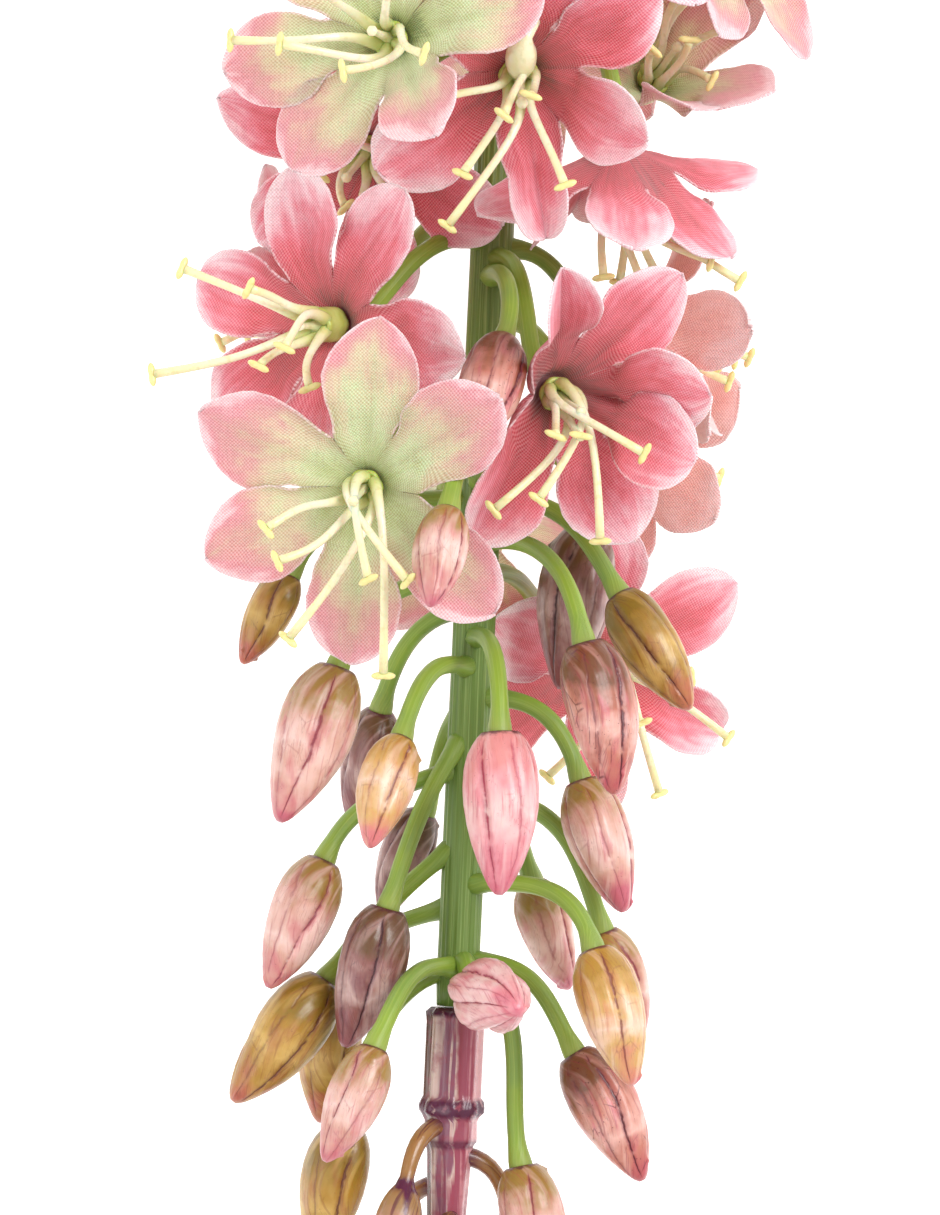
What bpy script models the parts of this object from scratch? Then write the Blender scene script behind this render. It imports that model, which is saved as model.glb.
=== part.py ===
"""Cut foxtail lily spray lying on a flat surface.

A made spray: a moulded stem with its pedicels, a moulded tip with the smallest buds,
large loose buds, and open flowers that are each a fabric corolla on a moulded cluster
of stamens. Every position below is in millimetres in the stem's own frame: +Y runs
along the stem from the tip to the cut end, +X is across it and +Z faces up from the
surface. One empty carries the whole spray and lays it on the surface.
"""

import math
from typing import NamedTuple

import bmesh
import bpy
from mathutils import Matrix, Vector

MM = 0.001

# Driving dimensions, in millimetres
STEM_RADIUS = 3.5
STEM_LOW_Y = -66.4
STEM_CUT_Y = 430.0
STEM_STRAIGHT_TO = 150.0
STEM_SIDES = 12
BARE_DROP = 49.0
SEAT_GAP = 0.3

PETAL_COUNT = 6
PETAL_LENGTH = 28.0
PETAL_HALF_WIDTH = 7.6
THROAT_RADIUS = 2.4
FABRIC_THICKNESS = 0.7

STAMEN_COUNT = 6
STAMEN_LENGTH = 25.0
STAMEN_RADIUS = 0.7
HUB_RADIUS = 2.1
HUB_LENGTH = 5.0
ANTHER_HALF_WIDTH = 1.7
ANTHER_LENGTH = 1.3

BUD_SIDES = 8
BUD_WIDTH_SHARE = 0.23
PEDICEL_SIDES = 6
PEDICEL_RADIUS = 1.35
PEDICEL_ROOT_RADIUS = 1.8
PEDICEL_NECK = 1.6
ROOT_DEPTH_SHARE = 0.45
LEAVE_SHARE = 0.5
LEAVE_LIFT_SHARE = 0.06
LEAN_SHARE = 0.4
ARRIVE_SHARE = 0.34
CALYX_RADIUS = 2.3

TIP_LENGTH = 74.0
TIP_RADIUS = 4.7
TIP_SIDES = 10
TIP_BUDS = 11
TIP_BUD_FIRST_TURN = 130.0
TIP_BUD_TURN = 137.5

# Where the stem's frame lies once the spray has settled on its back flower and its cut end
SETTLE_PLACE = (0.6, -139.0, 52.45)

# How a petal opens: its angle at the throat, the share over which it reaches its full
# opening and the angle that it curls on by at its tip
THROAT_ANGLE = 36.0
OPENING_SHARE = 0.25
TIP_CURL = 14.0

# A petal's outline: joined to its neighbours up to the notch, a little narrower just past
# it, fullest halfway along the free part and rounded from FULL_SHARE to the tip
NOTCH_SHARE = 0.34
NOTCH_LIFT = 0.9
NOTCH_WIDTH = 0.94
WIDEST_SHARE = 0.5
FULL_SHARE = 0.3
ROUND_SHARE = 0.74
KEEL = 1.1
LOBE_SHARES = (0.6, 0.88, 1.0)

# Share of the length, and share of the widest radius, from a bud's base to its point
BUD_PROFILE = ((0.0, 0.5), (0.08, 0.76), (0.36, 1.0), (0.7, 0.76), (0.93, 0.33), (1.0, 0.12))
PEDICEL_SHARES = (0.0, 0.22, 0.46, 0.72, 1.0)

# Share of the tip's length, and share of its radius, with a ridged collar near the stem
TIP_PROFILE = ((0.0, 0.98), (0.02, 1.0), (0.2, 0.97), (0.22, 1.08), (0.25, 0.9), (0.3, 0.92),
               (0.32, 0.8), (0.7, 0.5), (1.0, 0.3))


class Flower(NamedTuple):
    """One open flower.

    hub is the middle of its throat, facing is the way it opens, turns are the six
    petals' directions about that in degrees, opening is the petals' angle from it,
    root_rise is how far up the stem its pedicel starts, lifts change each petal's
    opening, and stamens are the offsets of the anthers from the hub, or empty for a
    regular fan.
    """

    name: str
    hub: tuple
    facing: tuple
    turns: tuple
    opening: float
    length: float
    root_rise: float
    tone: str
    lifts: tuple = ()
    stamens: tuple = ()


class Bud(NamedTuple):
    """One closed bud, from its base on the pedicel to its point.

    lean is 0 for a pedicel that leaves the stem squarely and 1 for one that leaves it
    straight towards the bud.
    """

    name: str
    base: tuple
    point: tuple
    root_rise: float
    tone: str
    lean: float = 0.0


def regular(first: float) -> tuple:
    """Petal directions in degrees, evenly spaced from the first."""
    return tuple(first + 360.0 / PETAL_COUNT * k for k in range(PETAL_COUNT))


FLOWERS = (
    Flower("flower_01", (-17, 89, 46.5), (-25, 0, 97), (16, 76, 136, 193, 236, 306), 80, 25, 16, "pale",
           (0, 0, 0, 0, 0, -36),
           ((-25, -2, 8), (-17, -3, 15), (-14, 8, 17), (-2, 10, 20), (5, -4, 21), (-7, -7, 19))),
    Flower("flower_02", (3, 87, 30), (5, -45, 90), (-9, 40, 86, 132, 215, 283), 74, 26, 20, "deep",
           (-35, 0, 0, 0, 0, -8),
           ((-10, -26, 8), (-8, -18, 13), (8, -19, 13), (-13, -7, 16), (2, -6, 20), (-2, -9, 19))),
    Flower("flower_03", (19.5, 77.5, 16.5), (4, -100, -50), (24, 90, 150, 208, 261, 326), 72, 25, 24, "deep",
           (-48, -48, -4, -24, -2, 0),
           ((16, -19, 2), (21, -22, 1), (6, -24, -4), (-1, -22, -2), (8, -21, -9), (2, -22, -11))),
    Flower("flower_04", (25, 89, -8.5), (30, 40, 76), (46, 94, 147, 213, 259, 318), 70, 25, 14, "pale",
           (0, 0, 0, -6, -40, -40),
           ((6, 6, 18), (13, 9, 12), (4, 14, 14), (0, 4, 20), (10, 0, 15), (8, 16, 9))),
    Flower("flower_05", (-20.4, 76, 4), (-30, -50, 80), (35, 92, 155, 214, 272, 335), 74, 25, 18, "deep",
           (),
           ((0, -12, 6), (-4, -11, 9), (4, -10, 6), (-8, -6, 10), (-12, 0, 10), (-5, 3, 12))),
    Flower("flower_06", (-24, 45, 24), (-50, -10, 84), (-12, 57, 105, 164, 216, 270), 80, 25, 16, "deep",
           (0, 0, 0, 0, 0, -6),
           ((-25, 7, 11), (-29, -10, 11), (-14, 4, 17), (-12, -8, 17), (-4, -11, 17), (-8, -5, 20))),
    Flower("flower_07", (-18, 19, 38), (-15, -24, 95), (37, 85, 155, 205, 264, 318), 80, 27, 16, "pale",
           (-8, 0, 0, 0, 0, 0),
           ((-15, -8, 16), (-13, -13, 15), (-11, -25, 10), (1, -15, 17), (7, -15, 16), (4, -30, 8))),
    Flower("flower_08", (10.5, 36, 24.3), (38, -30, 86), (20, 54, 112, 244, 306, 346), 76, 27, 22, "deep",
           (-42, 0, -22, 0, 0, -48),
           ((-8, -20, 14), (-1, -18, 17), (9, -24, 11), (15, -10, 15), (1, -8, 19), (5, -8, 20))),
    Flower("flower_09", (22.5, 48, -4), (90, -5, -12), regular(-6), 62, 24, 12, "salmon",
           (26, 0, 0, -26, -10, -30),
           ((19, -4, -6), (20, -1, -1), (18, -8, -2), (19, 2, -8), (21, -4, 2), (17, -5, -9))),
    Flower("flower_10", (22.5, 30, -25), (70, -15, -60), regular(30), 66, 22, 18, "salmon"),
    Flower("flower_11", (19, -8, -31), (45, -25, 62), (-18, 38, 110, 162, 205, 276), 74, 28, 14, "deep",
           (),
           ((25, -12, 9), (14, -22, 6), (-5, -20, 9), (2, -14, 16), (10, -10, 18), (18, -2, 14))),
    Flower("flower_12", (32, 115, -6), (70, 30, 50), regular(-2), 74, 26, 12, "pale"),
    Flower("flower_13", (21, 119, 25), (30, 35, 80), regular(40), 74, 25, 12, "deep"),
    Flower("flower_14", (-20, 124, 24), (-45, 35, 75), regular(20), 76, 25, 10, "deep"),
    Flower("flower_15", (-26, 50, -18), (-85, -10, -30), regular(8), 72, 25, 16, "deep"),
    Flower("flower_16", (4, 99, -28), (30, -10, -60), regular(30), 74, 25, 16, "pale"),
    Flower("flower_17", (-5, 20, -28), (0, -75, -45), regular(0), 66, 25, 18, "pale",
           (0, 0, 0, 0, -25, -25)),
)

BUDS = (
    Bud("bud_01", (2.5, 43, 30.5), (-2, 26, 44.5), 12, "veined"),
    Bud("bud_02", (-5, 15, 48), (-7, 0, 58), 6, "blush"),
    Bud("bud_03", (-31, 4, 4), (-38, -11, 6), 14, "olive", 0.3),
    Bud("bud_04", (-22, -11, 20), (-30, -36, 26), 16, "blush", 0.3),
    Bud("bud_05", (-15, -18, -4), (-19, -37, -8), 18, "dusky", 0.4),
    Bud("bud_06", (-11, -22, 28), (-15, -39, 37), 12, "golden"),
    Bud("bud_07", (5, -20, 26), (6, -46, 30), 15, "pink"),
    Bud("bud_08", (18, 14, -5), (15, -13, -4), 14, "dusky"),
    Bud("bud_09", (24, 3, 8), (36, -15, 14), 15, "olive"),
    Bud("bud_10", (18, -5, 24), (24, -29, 28), 16, "veined"),
    Bud("bud_11", (19, -28, 4), (27, -49, 8), 13, "blush"),
    Bud("bud_12", (-7, -35, -12), (-13, -53, -14), 18, "dusky", 0.5),
    Bud("bud_13", (-23, -43, 8), (-31, -64, 12), 16, "blush", 0.6),
    Bud("bud_14", (-12, -50, 13), (-18, -73, 14), 28, "dusky", 0.8),
    Bud("bud_15", (12, -46, -14), (19, -64, -18), 13, "blush"),
    Bud("bud_16", (22, -55, 20), (29, -76, 26), 9, "golden"),
    Bud("bud_17", (24, -53, -2), (31, -71, -4), 21, "blush"),
    Bud("bud_18", (3, -63, 10), (10, -64, 34), 4, "pink"),
    Bud("bud_19", (-22, -63, 6), (-36, -83, 11), 23, "olive", 0.85),
    Bud("bud_20", (-20, -66, -10), (-22, -88, -12), 16, "olive", 0.6),
    Bud("bud_21", (-13, -72, 27), (-20, -90, 32), 12, "blush"),
    Bud("bud_22", (20, -73, 6), (32, -93, 10), 14, "veined"),
    Bud("bud_23", (-17, -87, 2), (-21, -110, 0), 27, "olive", 0.5),
    Bud("bud_24", (12, -92, 6), (18, -114, 8), 31, "blush", 0.3),
)

COLOURS = {
    "stem": (0.20, 0.32, 0.07),
    "tip": (0.28, 0.08, 0.13),
    "stamens": (0.78, 0.74, 0.30),
    "pale": (0.78, 0.60, 0.45),
    "deep": (0.72, 0.17, 0.25),
    "salmon": (0.78, 0.38, 0.34),
    "blush": (0.72, 0.42, 0.40),
    "pink": (0.78, 0.38, 0.42),
    "veined": (0.55, 0.20, 0.26),
    "golden": (0.60, 0.42, 0.14),
    "olive": (0.40, 0.27, 0.10),
    "dusky": (0.26, 0.13, 0.14),
}


def clear_scene() -> None:
    """Remove every object of the open scene."""
    for old in list(bpy.data.objects):
        bpy.data.objects.remove(old, do_unlink=True)


def make_material(name: str, colour: tuple, roughness: float) -> bpy.types.Material:
    """A plain Principled material of one colour."""
    material = bpy.data.materials.new(name)
    material.use_nodes = True
    shader = material.node_tree.nodes["Principled BSDF"]
    shader.inputs["Base Color"].default_value = (*colour, 1.0)
    shader.inputs["Roughness"].default_value = roughness
    shader.inputs["Metallic"].default_value = 0.0
    return material


def make_object(name: str, bm: bmesh.types.BMesh, material, parent, matrix=None) -> bpy.types.Object:
    """Turn a millimetre bmesh into a smooth-shaded object in metres."""
    bmesh.ops.recalc_face_normals(bm, faces=bm.faces)
    bmesh.ops.scale(bm, vec=(MM, MM, MM), verts=bm.verts)
    mesh = bpy.data.meshes.new(name)
    bm.to_mesh(mesh)
    bm.free()
    mesh.shade_smooth()
    mesh.set_sharp_from_angle(angle=math.radians(40.0))
    mesh.materials.append(material)
    made = bpy.data.objects.new(name, mesh)
    bpy.context.collection.objects.link(made)
    made.parent = parent
    if matrix is not None:
        made.matrix_local = matrix
    return made


def facing_axes(facing: tuple) -> tuple:
    """Right, up and outward unit vectors of a flower that opens along facing."""
    outward = Vector(facing).normalized()
    stem_way = Vector((0.0, 1.0, 0.0))
    up = (stem_way - outward * stem_way.dot(outward)).normalized()
    return up.cross(outward), up, outward


def placed(place: tuple, axes: tuple) -> Matrix:
    """Matrix, in metres, that puts a local frame with these axes at a place."""
    turn = Matrix(axes).transposed().to_4x4()
    return Matrix.Translation(Vector(place) * MM) @ turn


def tube_axes(direction: Vector) -> tuple:
    """Two unit vectors square to a direction."""
    helper = Vector((0.0, 0.0, 1.0)) if abs(direction.z) < 0.8 else Vector((1.0, 0.0, 0.0))
    side = direction.cross(helper).normalized()
    return side, direction.cross(side).normalized()


def extruded_tube(points: list, radii: list, sides: int) -> bmesh.types.BMesh:
    """A closed tube through points, one ring for each point, with flat ends."""
    bm = bmesh.new()
    tangent = (points[1] - points[0]).normalized()
    side, over = tube_axes(tangent)
    made = bmesh.ops.create_circle(bm, cap_ends=False, segments=sides, radius=1.0)
    ring = made["verts"]
    angles = [2.0 * math.pi * k / sides for k in range(sides)]
    for step, (point, radius) in enumerate(zip(points, radii)):
        ahead = points[min(step + 1, len(points) - 1)] - points[max(step - 1, 0)]
        turn = tangent.rotation_difference(ahead.normalized())
        tangent = ahead.normalized()
        side, over = turn @ side, turn @ over
        if step:
            ring = grown_ring(bm, ring)
        for vert, angle in zip(ring, angles):
            vert.co = point + (side * math.cos(angle) + over * math.sin(angle)) * radius
        if step in (0, len(points) - 1):
            bm.faces.new(ring)
    return bm


def grown_ring(bm: bmesh.types.BMesh, ring: list) -> list:
    """Extrude a closed ring of verts and return the new ring in the same order."""
    edges = [bm.edges.get((a, b)) for a, b in zip(ring, ring[1:] + ring[:1])]
    made = bmesh.ops.extrude_edge_only(bm, edges=edges)["geom"]
    fresh = {v for v in made if isinstance(v, bmesh.types.BMVert)}
    return [next(e.other_vert(v) for e in v.link_edges if e.other_vert(v) in fresh) for v in ring]


def curve_point(ends: tuple, share: float) -> Vector:
    """Point at a share of a cubic Bezier curve."""
    a, b, c, d = ends
    rest = 1.0 - share
    return a * rest**3 + b * 3 * rest**2 * share + c * 3 * rest * share**2 + d * share**3


def midrib(opening: float, length: float, share: float) -> tuple:
    """Distance out and height of a petal's midrib at a share of its length.

    The petal leaves the throat steeply, opens to its full angle over its first
    quarter and curls back a little towards its tip.
    """
    steps = 16
    out, height = THROAT_RADIUS, 0.0
    for k in range(steps):
        at = share * (k + 0.5) / steps
        ease = min(at / OPENING_SHARE, 1.0)
        ease = ease * ease * (3.0 - 2.0 * ease)
        angle = math.radians(THROAT_ANGLE + (opening - THROAT_ANGLE) * ease + TIP_CURL * at * at)
        out += math.sin(angle) * length * share / steps
        height += math.cos(angle) * length * share / steps
    return out, height


def half_width(opening: float, length: float, share: float) -> float:
    """Half the width of a petal at a share of its length beyond the notch."""
    shared_edge = math.tan(math.pi / PETAL_COUNT)
    notch_out, _ = midrib(opening, length, NOTCH_SHARE)
    free = (share - NOTCH_SHARE) / (1.0 - NOTCH_SHARE)
    start = notch_out * shared_edge * NOTCH_WIDTH
    full = PETAL_HALF_WIDTH * length / PETAL_LENGTH
    swell = start + (full - start) * math.sin(math.pi / 2.0 * min(free / WIDEST_SHARE, 1.0))
    return swell * math.sqrt(max(1.0 - max((free - FULL_SHARE) / ROUND_SHARE, 0.0) ** 2, 0.0))


def petal_point(flower: Flower, petal: int, share: float, across: float) -> Vector:
    """Point of a petal in the flower's frame; across runs from -1 to 1."""
    opening = flower.opening + (flower.lifts[petal] if flower.lifts else 0.0)
    out, height = midrib(opening, flower.length, share)
    wide = half_width(opening, flower.length, share) * across
    keel = KEEL * 4.0 * share * (1.0 - share) * abs(across)
    angle = math.radians(flower.turns[petal])
    along = Vector((math.cos(angle), math.sin(angle), 0.0))
    aside = Vector((-math.sin(angle), math.cos(angle), 0.0))
    return along * out + aside * wide + Vector((0.0, 0.0, height + keel))


def corolla_mesh(flower: Flower) -> bmesh.types.BMesh:
    """Six joined petals with a floor in the throat, as one thin shell."""
    bm = bmesh.new()
    ring = bmesh.ops.create_circle(
        bm, cap_ends=True, segments=2 * PETAL_COUNT, radius=THROAT_RADIUS
    )["verts"]
    turns = list(flower.turns)
    half_gaps = [(b - a) / 2.0 for a, b in zip(turns, turns[1:] + [turns[0] + 360.0])]
    spokes = [spoke for turn, gap in zip(turns, half_gaps) for spoke in (turn, turn + gap)]
    for vert, spoke in zip(ring, spokes):
        angle = math.radians(spoke)
        vert.co = Vector((math.cos(angle), math.sin(angle), 0.0)) * THROAT_RADIUS
    ring = grown_ring(bm, ring)
    out, height = midrib(flower.opening, flower.length, NOTCH_SHARE)
    for index, (vert, spoke) in enumerate(zip(ring, spokes)):
        angle = math.radians(spoke)
        lift, reach = height, out
        if index % 2:
            gap = math.radians(half_gaps[index // 2])
            lift += NOTCH_LIFT
            reach *= min(math.cos(gap) / math.cos(math.pi / PETAL_COUNT), 1.0)
        vert.co = Vector((math.cos(angle) * reach, math.sin(angle) * reach, lift))
    for index in range(PETAL_COUNT):
        lobe = [ring[2 * index - 1], ring[2 * index], ring[2 * index + 1]]
        for share in LOBE_SHARES:
            lobe = grown_row(bm, lobe)
            for vert, across in zip(lobe, (-1.0, 0.0, 1.0)):
                vert.co = petal_point(flower, index, share, across)
    bmesh.ops.recalc_face_normals(bm, faces=bm.faces)
    bmesh.ops.solidify(bm, geom=list(bm.faces), thickness=FABRIC_THICKNESS)
    return bm


def grown_row(bm: bmesh.types.BMesh, row: list) -> list:
    """Extrude an open row of verts and return the new row in the same order."""
    edges = [bm.edges.get((a, b)) for a, b in zip(row, row[1:])]
    made = bmesh.ops.extrude_edge_only(bm, edges=edges)["geom"]
    fresh = {v for v in made if isinstance(v, bmesh.types.BMVert)}
    return [next(e.other_vert(v) for e in v.link_edges if e.other_vert(v) in fresh) for v in row]


def regular_fan() -> list:
    """Anther offsets of a regular fan, in the flower's own frame, long and short by turns."""
    tips = []
    for k in range(STAMEN_COUNT):
        angle = math.radians(360.0 / STAMEN_COUNT * k + 20.0)
        spread = STAMEN_LENGTH * (0.3 if k % 2 else 0.45)
        reach = STAMEN_LENGTH * (0.75 if k % 2 else 0.6)
        tips.append(Vector((math.cos(angle) * spread, math.sin(angle) * spread, reach)))
    return tips


def stamens_mesh(flower: Flower) -> bmesh.types.BMesh:
    """A hub with six filaments, each with a cross-set anther, and a short pistil."""
    axes = facing_axes(flower.facing)
    if flower.stamens:
        tips = [Vector(tuple(axis.dot(Vector(tip)) for axis in axes)) for tip in flower.stamens]
    else:
        tips = regular_fan()
    tips.sort(key=lambda tip: math.atan2(tip.y, tip.x))
    bm = bmesh.new()
    bmesh.ops.create_cone(
        bm,
        cap_ends=True,
        segments=STAMEN_COUNT,
        radius1=HUB_RADIUS * 0.8,
        radius2=HUB_RADIUS,
        depth=HUB_LENGTH,
        matrix=Matrix.Translation((0.0, 0.0, SEAT_GAP + HUB_LENGTH / 2.0)),
    )
    sides = [face for face in bm.faces if len(face.verts) == 4]
    sides.sort(key=lambda face: math.atan2(face.calc_center_median().y, face.calc_center_median().x))
    caps = [face for face in bm.faces if len(face.verts) == STAMEN_COUNT]
    cap = max(caps, key=lambda face: face.calc_center_median().z)
    for face, tip in zip(sides, tips):
        grow_filament(bm, face, tip)
    grow_pistil(bm, cap)
    return bm


def grow_filament(bm: bmesh.types.BMesh, face, tip: Vector) -> None:
    """Extrude one side of the hub along a curve to an anther at the tip."""
    root = face.calc_center_median()
    tangent = face.normal.copy()
    side = Vector((0.0, 0.0, 1.0)).cross(tangent).normalized()
    over = tangent.cross(side)
    corners = [Vector((v.co - root).dot(axis) for axis in (side, over)) for v in face.verts]
    start = root + tangent * 1.2 + Vector((0.0, 0.0, 1.8))
    bend = start + Vector((0.0, 0.0, tip.length * 0.34)) + tangent
    middle = quadratic(start, bend, tip, 0.5)
    ahead = (tip - middle).normalized()
    thin = STAMEN_RADIUS
    stations = (
        (start, 1.3 * thin, 1.3 * thin),
        (middle, thin, thin),
        (tip, thin, thin),
        (tip + ahead * 0.25, ANTHER_HALF_WIDTH, thin),
        (tip + ahead * ANTHER_LENGTH, 0.9 * ANTHER_HALF_WIDTH, 0.8 * thin),
    )
    before = root
    for point, wide, tall in stations:
        face = bmesh.ops.extrude_discrete_faces(bm, faces=[face])["faces"][0]
        ahead = (point - before).normalized()
        turn = tangent.rotation_difference(ahead)
        tangent, side, over = ahead, turn @ side, turn @ over
        for vert, corner in zip(face.verts, corners):
            vert.co = point + side * math.copysign(wide, corner.x) + over * math.copysign(tall, corner.y)
        before = point


def quadratic(a: Vector, b: Vector, c: Vector, share: float) -> Vector:
    """Point at a share of a quadratic Bezier curve."""
    rest = 1.0 - share
    return a * rest * rest + b * 2.0 * rest * share + c * share * share


def grow_pistil(bm: bmesh.types.BMesh, face) -> None:
    """Extrude the hub's front face into a short tapering pistil."""
    for rise, size in ((1.5, 0.5), (6.0, 0.8)):
        face = bmesh.ops.extrude_discrete_faces(bm, faces=[face])["faces"][0]
        centre = face.calc_center_median()
        for vert in face.verts:
            vert.co = centre + (vert.co - centre) * size + Vector((0.0, 0.0, rise))


def bud_mesh(bud: Bud) -> bmesh.types.BMesh:
    """A closed bud along +Z: a small collar, a full middle and a blunt point."""
    length = (Vector(bud.point) - Vector(bud.base)).length
    widest = length * BUD_WIDTH_SHARE
    points = [Vector((0.0, 0.0, length * at)) for at, _ in BUD_PROFILE]
    return extruded_tube(points, [widest * size for _, size in BUD_PROFILE], BUD_SIDES)


def pedicel_points(root_y: float, end: Vector, arrival: Vector, lean: float = 0.0) -> list:
    """Stations of a pedicel from inside the stem to its end, arriving along arrival."""
    across = Vector((end.x, 0.0, end.z)).normalized()
    inside = across * STEM_RADIUS * ROOT_DEPTH_SHARE + Vector((0.0, root_y, 0.0))
    reach = (end - inside).length
    square = (across * LEAVE_SHARE + Vector((0.0, LEAVE_LIFT_SHARE, 0.0))) * reach
    leave = inside + square.lerp((end - inside) * LEAN_SHARE, lean)
    neck = end - arrival * PEDICEL_NECK
    arrive = neck - arrival * reach * ARRIVE_SHARE
    ends = (inside, leave, arrive, neck)
    return [curve_point(ends, share) for share in PEDICEL_SHARES] + [end]


def stem_height(y: float) -> float:
    """Height of the stem's axis in its own frame: level, then sinking to the cut end."""
    if y <= STEM_STRAIGHT_TO:
        return 0.0
    share = (y - STEM_STRAIGHT_TO) / (STEM_CUT_Y - STEM_STRAIGHT_TO)
    return -BARE_DROP * (0.55 * share * share * (3.0 - 2.0 * share) + 0.45 * share * share)


def stem_mesh() -> bmesh.types.BMesh:
    """The stem alone, without its pedicels."""
    bends = 9
    bare = STEM_CUT_Y - STEM_STRAIGHT_TO
    levels = [STEM_LOW_Y]
    levels += [STEM_STRAIGHT_TO + bare * k / bends for k in range(bends + 1)]
    points = [Vector((0.0, y, stem_height(y))) for y in levels]
    return extruded_tube(points, [STEM_RADIUS] * len(points), STEM_SIDES)


def add_union(target: bpy.types.Object, bm: bmesh.types.BMesh, name: str, material, parent) -> None:
    """Join a closed mesh to a target with an exact Boolean."""
    tool = make_object(name, bm, material, parent)
    tool.hide_render = True
    tool.display_type = "WIRE"
    union = target.modifiers.new(name, "BOOLEAN")
    union.operation = "UNION"
    union.solver = "EXACT"
    union.object = tool


def build_stem(parent, material) -> None:
    """The stem joined with one pedicel for every flower and bud."""
    stem = make_object("stem", stem_mesh(), material, parent)
    for flower in FLOWERS:
        outward = Vector(flower.facing).normalized()
        back = FABRIC_THICKNESS + SEAT_GAP
        end = Vector(flower.hub) - outward * back
        points = pedicel_points(flower.hub[1] + flower.root_rise, end, outward)
        radii = [PEDICEL_ROOT_RADIUS] + [PEDICEL_RADIUS] * (len(points) - 2) + [CALYX_RADIUS]
        pedicel = extruded_tube(points, radii, PEDICEL_SIDES)
        add_union(stem, pedicel, f"guide_{flower.name}", material, parent)
    for bud in BUDS:
        along = (Vector(bud.point) - Vector(bud.base)).normalized()
        end = Vector(bud.base) - along * SEAT_GAP
        points = pedicel_points(bud.base[1] + bud.root_rise, end, along, bud.lean)
        radii = [PEDICEL_ROOT_RADIUS] + [PEDICEL_RADIUS] * (len(points) - 1)
        pedicel = extruded_tube(points, radii, PEDICEL_SIDES)
        add_union(stem, pedicel, f"guide_{bud.name}", material, parent)


def tip_bud_mesh(top: float, number: int) -> bmesh.types.BMesh:
    """One of the tip's small buds with its stalk, from the first and largest to the last."""
    share = number / (TIP_BUDS - 1)
    angle = math.radians(TIP_BUD_FIRST_TURN - TIP_BUD_TURN * number)
    across = Vector((math.cos(angle), 0.0, math.sin(angle)))
    root = Vector((0.0, top - TIP_LENGTH * (0.26 + 0.7 * share), 0.0))
    reach = 11.0 - 6.0 * share
    sag = 10.0 - 3.0 * share
    size = 17.0 - 8.0 * share
    base = root + across * reach + Vector((0.0, -sag, 0.0))
    along = (across * 0.25 + Vector((0.0, -1.0, 0.0))).normalized()
    ends = (root, root + across * reach * 0.8, base - along * sag * 0.5, base)
    stalk = [curve_point(ends, at) for at in (0.0, 0.3, 0.65)]
    body = [base + along * size * at for at in (0.0, 0.4, 0.8, 1.0)]
    radii = [1.2, 1.0, 0.9] + [size * part for part in (0.12, 0.23, 0.14, 0.04)]
    return extruded_tube(stalk + body, radii, PEDICEL_SIDES)


def build_tip(parent, material) -> None:
    """The moulded tip: a collared rod with a spiral of the smallest buds."""
    top = STEM_LOW_Y - SEAT_GAP
    points = [Vector((0.0, top - TIP_LENGTH * at, 0.0)) for at, _ in TIP_PROFILE]
    rod = extruded_tube(points, [TIP_RADIUS * size for _, size in TIP_PROFILE], TIP_SIDES)
    tip = make_object("tip", rod, material, parent)
    for number in range(TIP_BUDS):
        add_union(tip, tip_bud_mesh(top, number), f"guide_tip_bud_{number + 1:02d}", material, parent)


def build_flower(flower: Flower, parent, materials: dict) -> None:
    """A corolla and its stamens in the flower's own frame."""
    number = flower.name[-2:]
    matrix = placed(flower.hub, facing_axes(flower.facing))
    make_object(f"corolla_{number}", corolla_mesh(flower), materials[flower.tone], parent, matrix)
    make_object(f"stamens_{number}", stamens_mesh(flower), materials["stamens"], parent, matrix)


def build_bud(bud: Bud, parent, materials: dict) -> None:
    """A bud on the end of its pedicel."""
    axes = facing_axes(Vector(bud.point) - Vector(bud.base))
    make_object(bud.name, bud_mesh(bud), materials[bud.tone], parent, placed(bud.base, axes))


def main() -> None:
    """Build the whole spray and lay it on the surface."""
    clear_scene()
    materials = {name: make_material(name, colour, 0.5) for name, colour in COLOURS.items()}
    spray = bpy.data.objects.new("spray", None)
    bpy.context.collection.objects.link(spray)
    spray.location = Vector(SETTLE_PLACE) * MM
    build_stem(spray, materials["stem"])
    build_tip(spray, materials["tip"])
    for flower in FLOWERS:
        build_flower(flower, spray, materials)
    for bud in BUDS:
        build_bud(bud, spray, materials)
    bpy.context.view_layer.update()


main()
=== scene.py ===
"""Visual model of a cut foxtail lily spray lying on its back on a pale surface.

The spray is a made one: open flowers of pressed woven cloth on moulded stamens, painted
moulded buds, a ridged moulded stem with curved pedicels, and a moulded tip that carries
the smallest buds. Sizes are in millimetres in the stem's own frame, as in the solid
model: +Y runs along the stem from the tip to the cut end, +X is across it and +Z faces
up from the surface.
"""

from __future__ import annotations

import logging
import math
import random
from dataclasses import dataclass, field
from enum import Enum
from typing import Callable, ClassVar, NamedTuple, Sequence

import bmesh
import bpy
from mathutils import Matrix, Vector, noise


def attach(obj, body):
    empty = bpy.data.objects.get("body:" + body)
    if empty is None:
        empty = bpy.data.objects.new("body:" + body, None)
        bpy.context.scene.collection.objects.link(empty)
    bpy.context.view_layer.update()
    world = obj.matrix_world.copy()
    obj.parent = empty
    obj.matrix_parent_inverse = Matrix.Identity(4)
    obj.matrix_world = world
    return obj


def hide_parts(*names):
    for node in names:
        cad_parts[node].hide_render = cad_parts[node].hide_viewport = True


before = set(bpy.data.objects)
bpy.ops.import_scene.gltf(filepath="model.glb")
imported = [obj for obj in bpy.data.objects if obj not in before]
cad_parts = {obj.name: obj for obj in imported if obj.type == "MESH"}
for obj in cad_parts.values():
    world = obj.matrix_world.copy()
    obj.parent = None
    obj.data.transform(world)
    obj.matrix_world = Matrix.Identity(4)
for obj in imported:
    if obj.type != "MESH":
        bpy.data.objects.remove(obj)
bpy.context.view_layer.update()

LOG = logging.getLogger("foxtail_lily")

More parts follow.
